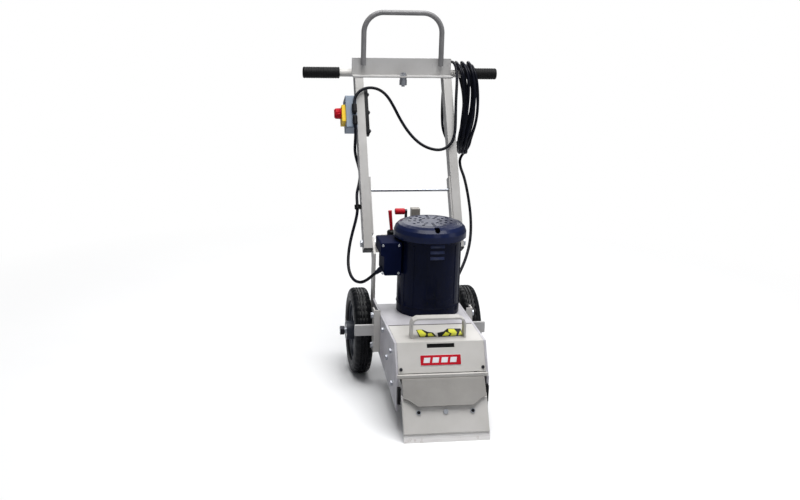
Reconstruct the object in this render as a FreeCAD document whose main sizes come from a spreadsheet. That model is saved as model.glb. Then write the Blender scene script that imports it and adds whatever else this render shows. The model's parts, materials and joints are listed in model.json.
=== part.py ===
"""Walk-behind floor stripper with an electric motor, as an assembly of separate pieces.

Frame: +X to the machine's left seen by its user, +Y from the blade towards the handle, +Z up. The origin is on the
floor under the middle of the machine.
"""

import FreeCAD
import Part
import Sketcher
import math
import os

Vector = FreeCAD.Vector
X_AXIS = Vector(1, 0, 0)
Y_AXIS = Vector(0, 1, 0)
Z_AXIS = Vector(0, 0, 1)

SIZES = {
    # lengths in millimetres, angles in degrees; "reach" sizes run back from the blade's edge
    "nose_y": -440,
    "wheel_radius": 127,
    "tyre_inner_x": 134,
    "tyre_width": 54,
    "hub_reach": 66,
    "rim_radius": 88,
    "axle_reach": 541,
    "axle_radius": 9.5,
    "axle_half": 209,
    "side_outer_x": 124.5,
    "side_thick": 6,
    "deck_top": 229,
    "deck_thick": 6,
    "deck_front_reach": 274.5,
    "deck_back_reach": 470,
    "face_top_reach": 134,
    "face_foot_reach": 94,
    "face_foot_height": 156,
    "cover_gap": 0.4,
    "sheet_thick": 3,
    "blade_width": 229.6,
    "blade_thick": 3,
    "blade_length": 125,
    "blade_slope": 60,
    "clamp_thick": 5,
    "clamp_start": 20,
    "clamp_end": 112,
    "blade_bolt_from_edge": 78,
    "blade_bolt_pitch": 72.5,
    "arm_half_x": 104,
    "arm_low": 118,
    "arm_thick": 10,
    "arm_back_reach": 455,
    "stroke": 3,
    "motor_x": 18.8,
    "motor_reach": 415,
    "motor_radius": 90,
    "motor_wall": 10,
    "motor_top": 455,
    "bell_height": 22,
    "fan_cover_radius": 103,
    "fan_cover_low": 449,
    "fan_cover_top": 491,
    "shaft_radius": 12.7,
    "running_gap": 0.05,
    "eccentric_radius": 17,
    "eccentric_throw": 3,
    "post_thick": 7,
    "post_depth": 38,
    "post_low": 60,
    "handle_lean": 30,
    "pivot_reach": 567,
    "pivot_height": 386,
    "tube_inner_x": 124.5,
    "tube_wide": 25.5,
    "tube_deep": 38,
    "tube_wall": 2.5,
    "tube_below": 19,
    "tube_above": 542,
    "crossbar_half": 155,
    "crossbar_low": 844,
    "crossbar_back_reach": 850.5,
    "crossbar_tall": 56,
    "crossbar_deep": 42,
    "angle_thick": 4.5,
    "bar_radius": 12,
    "bar_height": 852,
    "bar_reach": 862.5,
    "bar_half": 300,
    "grip_radius": 17.5,
    "grip_length": 112,
    "grip_end_x": 304,
    "loop_radius": 8,
    "loop_half": 121,
    "loop_bend": 60,
    "loop_low": 878,
    "loop_top": 1038,
    "cord_diameter": 9,
}


class Dim:
    """A size: its value, and the spreadsheet expression that gives it."""

    def __init__(self, value, text):
        self.value = float(value)
        self.text = text

    def __add__(self, other):
        other = dim(other)
        return Dim(self.value + other.value, f"({self.text} + {other.text})")

    def __sub__(self, other):
        other = dim(other)
        return Dim(self.value - other.value, f"({self.text} - {other.text})")

    def __mul__(self, other):
        other = dim(other)
        return Dim(self.value * other.value, f"({self.text} * {other.text})")

    def __truediv__(self, other):
        other = dim(other)
        return Dim(self.value / other.value, f"({self.text} / {other.text})")

    def __neg__(self):
        return Dim(-self.value, f"(-{self.text})")

    __radd__ = __add__
    __rmul__ = __mul__

    def __rsub__(self, other):
        return dim(other) - self


def dim(value):
    """Return value as a Dim."""
    if isinstance(value, Dim):
        return value
    return Dim(value, f"({value})")


doc = FreeCAD.newDocument("floor_stripper")
sheet = doc.addObject("Spreadsheet::Sheet", "Sizes")
S = {}
for row, (name, size) in enumerate(SIZES.items(), 1):
    sheet.set(f"A{row}", name)
    sheet.set(f"B{row}", str(size))
    sheet.setAlias(f"B{row}", name)
    S[name] = Dim(size, f"Sizes.{name}")
doc.recompute()

nodes = []


def node(thing, label):
    """Give an object its label and list it as one of the machine's pieces."""
    for other in doc.getObjectsByLabel(label):
        other.Label = label + "_blank"
    thing.Label = label
    nodes.append(thing)
    return thing


def bind(thing, name, size):
    """Set a property to a size and tie it to the sheet."""
    size = dim(size)
    if "." not in name:
        setattr(thing, name, size.value)
    thing.setExpression(name, size.text)


def place(thing, x=0, y=0, z=0, axis=None, angle=0):
    """Put an object at x, y, z, which are sizes, turned by angle degrees about axis."""
    rotation = FreeCAD.Rotation(axis, dim(angle).value) if axis else FreeCAD.Rotation()
    sizes = [dim(x), dim(y), dim(z)]
    thing.Placement = FreeCAD.Placement(Vector(*[size.value for size in sizes]), rotation)
    for letter, size in zip("xyz", sizes):
        bind(thing, f"Placement.Base.{letter}", size)
    return thing


def back(reach):
    """Return the Y place of something that far behind the blade's edge."""
    return S["nose_y"] + reach


# ---- sketches and PartDesign bodies -------------------------------------------------------------------------------


def new_body(name):
    return doc.addObject("PartDesign::Body", name)


def new_sketch(body, plane):
    """Make a sketch on one of the body's own origin planes."""
    sketch = body.newObject("Sketcher::SketchObject", body.Name + "_sketch")
    origin_plane = [item for item in body.Origin.OriginFeatures if item.Role == plane][0]
    sketch.AttachmentSupport = (origin_plane, [""])
    sketch.MapMode = "FlatFace"
    return sketch


def pin_point(sketch, geometry, corner, u, v):
    """Fix one point of a sketch at u, v."""
    for size, kind, axis in ((u, "DistanceX", -2), (v, "DistanceY", -1)):
        if abs(size.value) < 1e-9:
            sketch.addConstraint(Sketcher.Constraint("PointOnObject", geometry, corner, axis))
            continue
        number = sketch.addConstraint(Sketcher.Constraint(kind, -1, 1, geometry, corner, size.value))
        sketch.setExpression(f"Constraints[{number}]", size.text)


def add_polygon(sketch, corners):
    """Draw a closed outline through corners, each a pair of sizes."""
    corners = [(dim(u), dim(v)) for u, v in corners]
    first = sketch.GeometryCount
    count = len(corners)
    for i in range(count):
        start = Vector(corners[i][0].value, corners[i][1].value, 0)
        end = Vector(corners[(i + 1) % count][0].value, corners[(i + 1) % count][1].value, 0)
        sketch.addGeometry(Part.LineSegment(start, end))
    for i in range(count):
        sketch.addConstraint(Sketcher.Constraint("Coincident", first + i, 2, first + (i + 1) % count, 1))
    for i, (u, v) in enumerate(corners):
        pin_point(sketch, first + i, 1, u, v)


def add_circle(sketch, u, v, radius):
    """Draw a circle about u, v."""
    u, v, radius = dim(u), dim(v), dim(radius)
    number = sketch.addGeometry(Part.Circle(Vector(u.value, v.value, 0), Z_AXIS, radius.value))
    pin_point(sketch, number, 3, u, v)
    constraint = sketch.addConstraint(Sketcher.Constraint("Radius", number, radius.value))
    sketch.setExpression(f"Constraints[{constraint}]", radius.text)


def rectangle(low_u, low_v, high_u, high_v):
    return [(low_u, low_v), (high_u, low_v), (high_u, high_v), (low_u, high_v)]


def pad(body, plane, outlines, length, circles=(), both_ways=False):
    """Pad closed outlines and circles drawn on one plane of the body."""
    sketch = new_sketch(body, plane)
    for corners in outlines:
        add_polygon(sketch, corners)
    for u, v, radius in circles:
        add_circle(sketch, u, v, radius)
    feature = body.newObject("PartDesign::Pad", body.Name + "_pad")
    feature.Profile = sketch
    if both_ways:
        feature.SideType = "Symmetric"
    bind(feature, "Length", length)
    sketch.Visibility = False
    body.Tip = feature
    return feature


def pocket_through(body, plane, outlines=(), circles=()):
    """Cut outlines and circles right through the body, both ways from the plane."""
    doc.recompute()
    before = body.Shape.Volume
    sketch = new_sketch(body, plane)
    for corners in outlines:
        add_polygon(sketch, corners)
    for u, v, radius in circles:
        add_circle(sketch, u, v, radius)
    feature = body.newObject("PartDesign::Pocket", body.Name + "_pocket")
    feature.Profile = sketch
    feature.Type = "ThroughAll"
    feature.SideType = "Symmetric"
    body.Tip = feature
    doc.recompute()
    if body.Shape.Volume >= before:
        raise RuntimeError(f"the pocket in {body.Name} cuts nothing")
    return feature


def lathe(body, corners):
    """Turn a half section, given as radius and height, about the body's own Z axis."""
    sketch = new_sketch(body, "XZ_Plane")
    add_polygon(sketch, corners)
    feature = body.newObject("PartDesign::Revolution", body.Name + "_turn")
    feature.Profile = sketch
    feature.ReferenceAxis = (sketch, ["V_Axis"])
    feature.Angle = 360
    body.Tip = feature
    doc.recompute()
    return feature


def round_edges(body, radius, wanted):
    """Fillet the edges of the body's tip that wanted(edge) picks."""
    doc.recompute()
    tip = body.Tip
    names = [f"Edge{i}" for i, edge in enumerate(tip.Shape.Edges, 1) if wanted(edge)]
    feature = body.newObject("PartDesign::Fillet", body.Name + "_fillet")
    feature.Base = (tip, names)
    bind(feature, "Radius", radius)
    body.Tip = feature
    doc.recompute()
    return feature


# ---- Part primitives ----------------------------------------------------------------------------------------------


def box(name, low, size):
    """Make a Part::Box from its low corner and its three sizes."""
    thing = doc.addObject("Part::Box", name)
    for prop, value in zip(("Length", "Width", "Height"), size):
        bind(thing, prop, value)
    return place(thing, *low)


def cylinder(name, radius, length, start, axis=None, angle=0):
    """Make a Part::Cylinder that starts at start and runs along Z, or along Z turned by angle about axis."""
    thing = doc.addObject("Part::Cylinder", name)
    bind(thing, "Radius", radius)
    bind(thing, "Height", length)
    return place(thing, *start, axis=axis, angle=angle)


def cut(name, base, tool):
    thing = doc.addObject("Part::Cut", name)
    thing.Base = base
    thing.Tool = tool
    return thing


def fuse(name, parts):
    thing = doc.addObject("Part::MultiFuse", name)
    thing.Shapes = parts
    thing.Refine = True
    return thing


def group(name, parts):
    """Keep several separate solids together as one piece's node."""
    thing = doc.addObject("Part::Compound", name)
    thing.Links = parts
    return thing


def mirrored(name, source):
    """Return source's mirror image in the machine's middle plane."""
    thing = doc.addObject("Part::Mirroring", name)
    thing.Source = source
    thing.Normal = X_AXIS
    return thing


def left_and_right(source):
    """Return a group of source and its mirror image."""
    return group(source.Name + "_pair", [source, mirrored(source.Name + "_mirror", source)])


def feature(name, shape):
    """Hold a shape that neither a body nor a primitive gives."""
    thing = doc.addObject("Part::Feature", name)
    thing.Shape = shape
    return thing


def hexagon(across, height, start, direction):
    """Return a hex prism on start, along direction."""
    corner = across / math.sqrt(3)
    points = [Vector(corner * math.cos(k * math.pi / 3), corner * math.sin(k * math.pi / 3), 0) for k in range(7)]
    prism = Part.Face(Part.makePolygon(points)).extrude(Vector(0, 0, height))
    prism.Placement = FreeCAD.Placement(start, FreeCAD.Rotation(Z_AXIS, direction))
    return prism


def bolt(start, direction, radius, length, head=True):
    """Return a bolt whose head's underside is at start and whose shank runs along direction."""
    direction = Vector(direction).normalize()
    shank = Part.makeCylinder(radius, length, start, direction)
    if not head:
        return shank
    head_shape = hexagon(radius * 3.2, radius * 1.3, start - direction * (radius * 1.3), direction)
    return shank.fuse(head_shape).removeSplitter()


# ---- frame --------------------------------------------------------------------------------------------------------


def side_profile():
    """Return the side plate's corners as reach and height."""
    return [
        (back(78), 60),
        (back(84), 146),
        (back(S["face_foot_reach"]), S["face_foot_height"]),
        (back(S["face_top_reach"]), S["deck_top"]),
        (back(523), S["deck_top"]),
        (back(523), 112),
        (back(396), 110),
    ]


def make_side_plates():
    body = new_body("side_plate")
    pad(body, "YZ_Plane", [side_profile()], S["side_thick"])
    place(body, x=S["side_outer_x"] - S["side_thick"])
    node(left_and_right(body), "side_plates")


def make_rear_deck():
    body = new_body("rear_deck")
    half = S["side_outer_x"] - S["side_thick"]
    corners = rectangle(-half, back(S["deck_front_reach"]), half, back(S["deck_back_reach"]))
    hole = (S["motor_x"], back(S["motor_reach"]), 30)
    pad(body, "XY_Plane", [corners], S["deck_thick"], circles=[hole])
    place(body, z=S["deck_top"] - S["deck_thick"])
    node(body, "rear_deck")


def make_front_lip():
    """The lip over the guard: a bevelled edge across the side plates, a web between them and two cover tabs."""
    inner = S["side_outer_x"] - S["side_thick"]
    edge = new_body("lip_edge")
    pad(edge, "YZ_Plane", [[(back(84), 146), (back(84), 155), (back(93), 155)]], inner * 2 + 7, both_ways=True)
    web = box("lip_web", (-inner, back(84), 146), (inner * 2, 9, 9))
    tab = new_body("lip_tab")
    pad(tab, "YZ_Plane", [[(back(90), 150), (back(97.5), 156.2), (back(108.4), 176), (back(115), 172),
                           (back(102), 147), (back(93), 146)]], 11)
    place(tab, x=inner - 15)
    node(fuse("lip_solid", [edge, web, left_and_right(tab)]), "front_lip")


def guard_face(height):
    """Return the guard's front reach at a height."""
    low_reach, low_height, high_reach, high_height = 29, 82, 82.5, 151
    return low_reach + (high_reach - low_reach) * (height - low_height) / (high_height - low_height)


def make_front_guard():
    """The fixed guard under the lip, sloped, with its lower corners cut off."""
    body = new_body("front_guard")
    thick = 3.8
    bend = guard_face(141.5)
    profile = [
        (back(guard_face(87)), 87), (back(guard_face(146)), 146), (back(93), 146), (back(93), 142.5),
        (back(bend + thick), 142.5), (back(guard_face(87) + thick), 87),
    ]
    pad(body, "YZ_Plane", [profile], 223, both_ways=True)
    corner = [(74, 75), (74, 87), (100, 102), (112, 105), (120, 105), (120, 75)]
    pocket_through(body, "XZ_Plane", outlines=[corner, [(-u, v) for u, v in reversed(corner)]])
    node(body, "front_guard")


def make_edge_strips():
    """Rubber strips on the side plates' front edges."""
    strip = new_body("edge_strip")
    rise = 6 / 86
    profile = [(back(69.5), 80), (back(69.5), 125), (back(78 + 65 * rise), 125), (back(78 + 20 * rise), 80)]
    pad(strip, "YZ_Plane", [profile], 8)
    place(strip, x=S["side_outer_x"] - 10)
    node(left_and_right(strip), "edge_strips")


def make_side_bars():
    """The flat bars that stand out in front of the tyres, on channels bolted to the side plates."""
    start = S["side_outer_x"] + 18.5
    left = box("left_bar", (-start - 54, back(371), 167.5), (54, 10, 31))
    right = box("right_bar", (start, back(371), 167.5), (38, 10, 31))
    node(group("bar_pair", [left, right]), "side_bars")
    channel = new_body("bracket_post")
    wide = 18.5
    section = [(0, 0), (wide, 0), (wide, 32), (wide - 5, 32), (wide - 5, 5), (0, 5)]
    pad(channel, "XY_Plane", [section], 124)
    place(channel, x=S["side_outer_x"], y=back(371), z=118)
    node(left_and_right(channel), "bracket_posts")


def make_handle_posts():
    """The flat posts that carry the axle at the bottom and the handle at the top."""
    body = new_body("handle_post")
    low = back(523)
    high = low + S["post_depth"]
    middle = low + S["post_depth"] / 2
    top = S["pivot_height"] + 16
    corners = [
        (low, S["post_low"]),
        (high, S["post_low"]),
        (high, 340),
        (back(S["pivot_reach"]) + 17, S["pivot_height"] - 12),
        (back(S["pivot_reach"]) + 17, top - 8),
        (back(S["pivot_reach"]) + 9, top),
        (back(S["pivot_reach"]) - 9, top),
        (low, S["pivot_height"] - 20),
    ]
    holes = [
        (middle - 1, S["wheel_radius"], S["axle_radius"]),
        (back(S["pivot_reach"]), S["pivot_height"], 6.05),
    ]
    pad(body, "YZ_Plane", [corners], S["post_thick"], circles=holes)
    place(body, x=S["side_outer_x"] - S["post_thick"])
    node(left_and_right(body), "handle_posts")
    half = S["side_outer_x"] - S["post_thick"]
    outer = box("member_outer", (-half, back(533), 148), (half * 2, 26, 32))
    inner = box("member_inner", (-half - 1, back(536), 151), (half * 2 + 2, 20, 26))
    node(cut("member", outer, inner), "crossmember")


def make_frame_bolts():
    """Hex bolts in the bracket posts and in the side plates."""
    shapes = []
    outer = S["side_outer_x"].value
    nose = S["nose_y"].value
    for side in (-1, 1):
        inward = Vector(-side, 0, 0)
        for height in (133, 222):
            shapes.append(bolt(Vector(side * (outer + 18.5), nose + 389, height), inward, 5, 24))
        for reach, height in ((317, 202), (240, 150), (180, 190), (150, 110)):
            shapes.append(bolt(Vector(side * outer, nose + reach, height), inward, 4, 6))
    node(feature("frame_bolt_set", Part.makeCompound(shapes)), "frame_bolts")


def make_axle():
    rod = cylinder("axle_rod", S["axle_radius"], S["axle_half"] * 2,
                   (-S["axle_half"], back(S["axle_reach"]), S["wheel_radius"]), Y_AXIS, 90)
    node(rod, "axle")
    nose = S["nose_y"].value
    centre = Vector(0, nose + S["axle_reach"].value, S["wheel_radius"].value)
    shapes = []
    for side in (-1, 1):
        outward = Vector(side, 0, 0)
        end = centre + outward * (S["axle_half"].value - 4)
        cap = Part.makeCylinder(13, 12, end, outward)
        cap = cap.cut(Part.makeCylinder(S["axle_radius"].value, 4, end, outward))
        shapes.append(cap)
    node(feature("axle_cap_set", Part.makeCompound(shapes)), "axle_nuts")


# ---- wheels -------------------------------------------------------------------------------------------------------


def make_wheel(side, name):
    """A rubber tyre on a spoked rim, turned about its own Z axis and then laid along X."""
    radius = S["wheel_radius"]
    width = S["tyre_width"]
    reach = S["hub_reach"]
    rim = S["rim_radius"]
    tyre = new_body(name + "_tyre")
    lathe(tyre, [
        (rim, 6), (rim + 8, 0), (radius - 14, 0), (radius - 4, 5), (radius, 14),
        (radius, width - 14), (radius - 4, width - 5), (radius - 14, width), (rim + 8, width), (rim, width - 6),
    ])
    hub = new_body(name + "_rim")
    lathe(hub, [
        (20.2, 4), (28, 4), (28, 30), (rim - 8, 30), (rim - 8, 8), (rim, 8), (rim, width - 8), (rim - 8, width - 8),
        (rim - 8, 40), (28, 40), (28, reach), (20.2, reach), (20.2, reach - 12.5), (13, reach - 12.5),
        (13, 16.5), (20.2, 16.5),
    ])
    hole = new_sketch(hub, "XY_Plane")
    add_circle(hole, 53, 0, 15)
    pocket = hub.newObject("PartDesign::Pocket", name + "_window")
    pocket.Profile = hole
    pocket.Type = "ThroughAll"
    pocket.SideType = "Symmetric"
    hub.Tip = pocket
    doc.recompute()
    before = hub.Shape.Volume
    windows = hub.newObject("PartDesign::PolarPattern", name + "_windows")
    windows.Originals = [pocket]
    windows.Axis = (hole, ["N_Axis"])
    windows.Angle = 360
    windows.Occurrences = 5
    hub.Tip = windows
    doc.recompute()
    if hub.Shape.Volume >= before:
        raise RuntimeError("the rim's windows cut nothing")
    start = S["tyre_inner_x"] if side > 0 else -S["tyre_inner_x"]
    for thing, label in ((tyre, "_tyre"), (hub, "_rim")):
        place(thing, x=start, y=back(S["axle_reach"]), z=radius, axis=Y_AXIS, angle=90 * side)
        node(thing, name + label)


def make_wheel_bearings():
    """Two ball-bearing rings in each hub, fast on the axle."""
    rings = []
    for side in (-1, 1):
        for number, start in enumerate((4.5, S["hub_reach"].value - 12.3)):
            name = f"bearing_{number}_{'l' if side < 0 else 'r'}"
            x = (S["tyre_inner_x"] + start) if side > 0 else -(S["tyre_inner_x"] + start)
            spot = (x, back(S["axle_reach"]), S["wheel_radius"])
            outer = cylinder(name + "_outer", 20.15, 11.8, spot, Y_AXIS, 90 * side)
            bore = cylinder(name + "_bore", S["axle_radius"], 11.8, spot, Y_AXIS, 90 * side)
            rings.append(cut(name, outer, bore))
    node(group("bearing_rings", rings), "wheel_bearings")


# ---- motor --------------------------------------------------------------------------------------------------------


def at_motor(thing, z=0):
    return place(thing, x=S["motor_x"], y=back(S["motor_reach"]), z=z)


def make_motor():
    radius = S["motor_radius"]
    inner = radius - S["motor_wall"]
    bell_top = S["deck_top"] + S["bell_height"]
    top = S["motor_top"]
    shaft_room = S["shaft_radius"] + 2
    seat = 24
    housing = new_body("motor_housing")
    lathe(housing, [
        (inner, bell_top), (radius, bell_top), (radius, top - 8), (S["fan_cover_radius"] - 3, top - 8),
        (S["fan_cover_radius"] - 3, top), (shaft_room, top), (shaft_room, top - 3), (seat, top - 3),
        (seat, top - 17), (inner, top - 17),
    ])
    node(at_motor(housing), "motor_housing")
    bell = new_body("end_bell")
    lathe(bell, [
        (shaft_room, S["deck_top"]), (radius - 1, S["deck_top"]), (radius, S["deck_top"] + 1),
        (radius, bell_top), (inner, bell_top), (inner, bell_top - 4), (seat, bell_top - 4),
        (seat, bell_top - 17), (shaft_room, bell_top - 17),
    ])
    node(at_motor(bell), "end_bell")
    bearings = []
    for number, low in enumerate((bell_top - 17, top - 17)):
        ring = new_body(f"motor_bearing_{number}")
        lathe(ring, [
            (S["shaft_radius"] + S["running_gap"], low), (seat, low), (seat, low + 13),
            (S["shaft_radius"] + S["running_gap"], low + 13),
        ])
        bearings.append(at_motor(ring))
    node(group("bearing_pair", bearings), "motor_bearings")
    stator = new_body("stator")
    lathe(stator, [(52, 285), (inner, 285), (inner, 410), (52, 410)])
    node(at_motor(stator), "stator")
    shaft = S["shaft_radius"]
    rotor = new_body("rotor")
    lathe(rotor, [
        (0, 137), (shaft, 137), (shaft, 288), (50, 288), (50, 407), (shaft, 407), (shaft, 482), (0, 482),
    ])
    node(at_motor(rotor), "rotor")
    cam = cylinder("cam", S["eccentric_radius"], 24.5,
                   (S["motor_x"], back(S["motor_reach"]) + S["eccentric_throw"], 112.5))
    node(cam, "eccentric")


def make_fan():
    """A hub with flat blades that blows air down past the housing."""
    hub = cylinder("fan_hub", 22, 20, (0, 0, 0))
    plate = cylinder("fan_plate", 78, 2, (0, 0, 0))
    blades = []
    count = 8
    for k in range(count):
        blade = box(f"fan_blade_{k}", (0, 0, 0), (58, 2.5, 20))
        turn = FreeCAD.Rotation(Z_AXIS, 360 / count * k)
        for letter in "xyz":
            blade.setExpression(f"Placement.Base.{letter}", None)
        blade.Placement = FreeCAD.Placement(turn.multVec(Vector(20, -1.25, 0)), turn)
        blades.append(blade)
    bore = cylinder("fan_bore", S["shaft_radius"], 30, (0, 0, -5))
    fan = cut("fan", fuse("fan_solid", [hub, plate] + blades), bore)
    node(at_motor(fan, z=S["motor_top"] + 5), "cooling_fan")


def make_fan_cover():
    """A domed steel cover with rounded rim, slots in its top and a notch in its rim."""
    radius = S["fan_cover_radius"]
    low = S["fan_cover_low"]
    top = S["fan_cover_top"]
    body = new_body("fan_cover")
    wall = 2.4
    lathe(body, [
        (0, top), (radius - 40, top), (radius - 24, top - 2), (radius - 12, top - 6.5), (radius - 4, top - 14.5),
        (radius, top - 25), (radius, low), (radius - wall, low), (radius - wall, top - 25.4),
        (radius - 6.3, top - 15.6), (radius - 13.6, top - 8.6), (radius - 24.8, top - 4.4),
        (radius - 40.3, top - wall), (0, top - wall),
    ])
    slots = []
    for ring_radius in (30, 45, 60):
        for k in range(12):
            angle = math.radians(30 * k)
            middle = (ring_radius * math.cos(angle), ring_radius * math.sin(angle))
            slots.append((middle[0], middle[1], 4.5))
    pocket_through(body, "XY_Plane", circles=slots)
    at_motor(body)
    notch = cylinder("fan_cover_notch", 7.5, 40, (22, back(340), 485), X_AXIS, 90)
    node(cut("fan_cover_notched", body, notch), "fan_cover")


def make_junction_box():
    """The cast box on the housing's side, with a wider head and a hollow inside."""
    body = new_body("junction_box")
    corners = [(-70, 439), (-129, 439), (-129, 404), (-118.5, 400), (-118.5, 345), (-70, 345)]
    pad(body, "XZ_Plane", [corners], 92, both_ways=True)
    round_edges(body, 5, lambda edge: abs(edge.CenterOfMass.y) < 1 and edge.CenterOfMass.x < -100)
    place(body, y=back(S["motor_reach"]))
    hollow = box("junction_room", (-114, back(S["motor_reach"]) - 42, 351), (37, 84, 82))
    motor = cylinder("junction_motor_room", S["motor_radius"] + 0.05, 300,
                     (S["motor_x"], back(S["motor_reach"]), 200))
    node(cut("junction_shell", body, fuse("junction_cuts", [hollow, motor])), "junction_box")


def make_motor_gland():
    """The ribbed strain relief at the junction box's lower corner, pointing down, out and back."""
    start = Vector(-115, S["nose_y"].value + 412, 356)
    direction = Vector(-0.6, 0.45, -0.66).normalize()
    shape = Part.makeCylinder(8, 14, start, direction)
    for k in range(4):
        low = start + direction * (11 + 4 * k)
        shape = shape.fuse(Part.makeCylinder(7 - 0.3 * k, 2.4, low, direction))
        shape = shape.fuse(Part.makeCylinder(5.8, 4, low, direction))
    bore = Part.makeCylinder(S["cord_diameter"].value / 2 + 0.1, 12, start + direction * 16, direction)
    node(feature("motor_gland_shape", shape.cut(bore).removeSplitter()), "motor_gland")


# ---- oscillating head ---------------------------------------------------------------------------------------------


def slope(along, off):
    """Return reach and height of a point so far up the blade and so far in front of it."""
    angle = math.radians(SIZES["blade_slope"])
    reach = along * math.cos(angle) - off * math.sin(angle)
    height = along * math.sin(angle) + off * math.cos(angle)
    return back(reach), dim(height)


def make_blade():
    thick = SIZES["blade_thick"]
    floor_run = thick / math.sin(math.radians(SIZES["blade_slope"]))
    body = new_body("blade")
    corners = [
        (back(0), dim(0)), slope(SIZES["blade_length"], 0), slope(SIZES["blade_length"], -thick),
        (back(floor_run), dim(0)),
    ]
    pad(body, "YZ_Plane", [corners], S["blade_width"], both_ways=True)
    clamp = new_body("clamp_plate")
    low, high = SIZES["clamp_start"], SIZES["clamp_end"]
    front = SIZES["clamp_thick"]
    corners = [slope(low, 0.02), slope(low + 3, front), slope(high, front), slope(high, 0.02)]
    pad(clamp, "YZ_Plane", [corners], S["blade_width"] - 1.5, both_ways=True)
    holes = []
    for k in (-1, 0, 1):
        reach, height = slope(SIZES["blade_bolt_from_edge"], -20)
        start = Vector(k * SIZES["blade_bolt_pitch"], reach.value, height.value)
        tilt = Vector(0, -math.sin(math.radians(60)), math.cos(math.radians(60)))
        holes.append(Part.makeCylinder(5.05, 60, start, tilt))
    drill = feature("blade_drill", Part.makeCompound(holes))
    node(cut("blade_drilled", body, drill), "blade")
    node(cut("clamp_drilled", clamp, drill), "clamp_plate")
    return drill


def make_head_arm(drill):
    """A bent plate: the sloped seat behind the blade and the flat arm that slides between the rails."""
    body = new_body("head_arm")
    low, thick = SIZES["arm_low"], SIZES["arm_thick"]
    seat_front = -SIZES["blade_thick"] - 0.02
    seat_back = seat_front - thick
    rise = math.sin(math.radians(SIZES["blade_slope"]))
    run = math.cos(math.radians(SIZES["blade_slope"]))

    def along_at(height, off):
        return (height - off * run) / rise

    corners = [
        slope(42, seat_front), slope(along_at(low + thick, seat_front), seat_front),
        (back(S["arm_back_reach"]), dim(low + thick)), (back(S["arm_back_reach"]), dim(low)),
        slope(along_at(low, seat_back), seat_back), slope(42, seat_back),
    ]
    pad(body, "YZ_Plane", [corners], S["arm_half_x"] * 2, both_ways=True)
    opening = S["eccentric_radius"] + S["eccentric_throw"] + S["stroke"] + 1.2
    pocket_through(body, "XY_Plane", circles=[(S["motor_x"], back(S["motor_reach"]), opening)])
    node(cut("head_arm_drilled", body, drill), "head_arm")


def make_blade_bolts():
    shapes = []
    inward = Vector(0, math.sin(math.radians(60)), -math.cos(math.radians(60)))
    for k in (-1, 0, 1):
        reach, height = slope(SIZES["blade_bolt_from_edge"], SIZES["clamp_thick"])
        start = Vector(k * SIZES["blade_bolt_pitch"], reach.value, height.value)
        screw = Part.makeCylinder(5, 28, start, inward)
        head = Part.makeCylinder(6.5, 3, start - inward * 3, inward)
        screw = screw.fuse(head).fuse(hexagon(15, 7, start + inward * 18.1, inward))
        shapes.append(screw.removeSplitter())
    node(feature("blade_bolt_set", Part.makeCompound(shapes)), "blade_bolts")


def make_guide_rails():
    """Grooved rails on the side plates' inner faces, in which the arm's edges slide."""
    rail = new_body("guide_rail")
    inner = S["arm_half_x"] - 8
    outer = S["side_outer_x"] - S["side_thick"]
    low = S["arm_low"]
    high = low + S["arm_thick"]
    gap = 0.35
    corners = [
        (outer, low - 8), (outer, high + 8), (inner, high + 8), (inner, high + gap),
        (S["arm_half_x"] + 0.6, high + gap), (S["arm_half_x"] + 0.6, low - gap), (inner, low - gap),
        (inner, low - 8),
    ]
    pad(rail, "XZ_Plane", [corners], 280)
    place(rail, y=back(465))
    node(left_and_right(rail), "guide_rails")


# ---- front cover --------------------------------------------------------------------------------------------------


def make_front_cover():
    """A sheet hood with a sloped front, a slot and a flat grab handle."""
    body = new_body("front_cover")
    gap = S["cover_gap"]
    half = S["side_outer_x"] - S["side_thick"] - gap
    thick = S["sheet_thick"]
    top = S["deck_top"]
    face_top = back(S["face_top_reach"])
    face_foot = back(S["face_foot_reach"])
    rear = back(S["deck_front_reach"]) - 1
    foot = S["face_foot_height"] + 0.3
    outer = [
        (face_foot, foot), (face_top, top), (rear, top), (rear, top - 26), (rear - thick, top - 26),
        (rear - thick, top - thick), (face_top + 1.5, top - thick), (face_foot + 3.4, foot),
    ]
    pad(body, "YZ_Plane", [outer], half * 2, both_ways=True)
    cheek = [(face_foot + 3, foot), (face_top + 1, top - 1), (rear - 1, top - 1), (rear - 1, top - 26),
             (face_top + 20, top - 26), (face_foot + 20, foot)]
    cheeks = []
    for side in (-1, 1):
        plate = new_body(f"cheek_{'left' if side < 0 else 'right'}")
        pad(plate, "YZ_Plane", [cheek], thick)
        place(plate, x=(half - thick) if side > 0 else -half)
        cheeks.append(plate)
    slot = box("cover_slot", (-37.5, back(100), 214), (75, 60, 10.5))
    hood = cut("cover_hood", fuse("cover_sheets", [body] + cheeks), slot)
    node(hood, "front_cover")
    grab = new_body("cover_handle")
    wide, tall, bar = 75, 57, 5
    outline = [
        (-wide, 0), (-wide, tall - 18), (-wide + 5, tall - 6), (-wide + 17, tall), (wide - 17, tall),
        (wide - 5, tall - 6), (wide, tall - 18), (wide, 0), (wide - bar, 0), (wide - bar, tall - 19),
        (wide - bar - 4, tall - 9.5), (wide - 18, tall - bar), (-wide + 18, tall - bar),
        (-wide + bar + 4, tall - 9.5), (-wide + bar, tall - 19), (-wide + bar, 0),
    ]
    pad(grab, "XZ_Plane", [outline], 30)
    place(grab, y=back(190), z=top)
    node(grab, "cover_handle")


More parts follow.
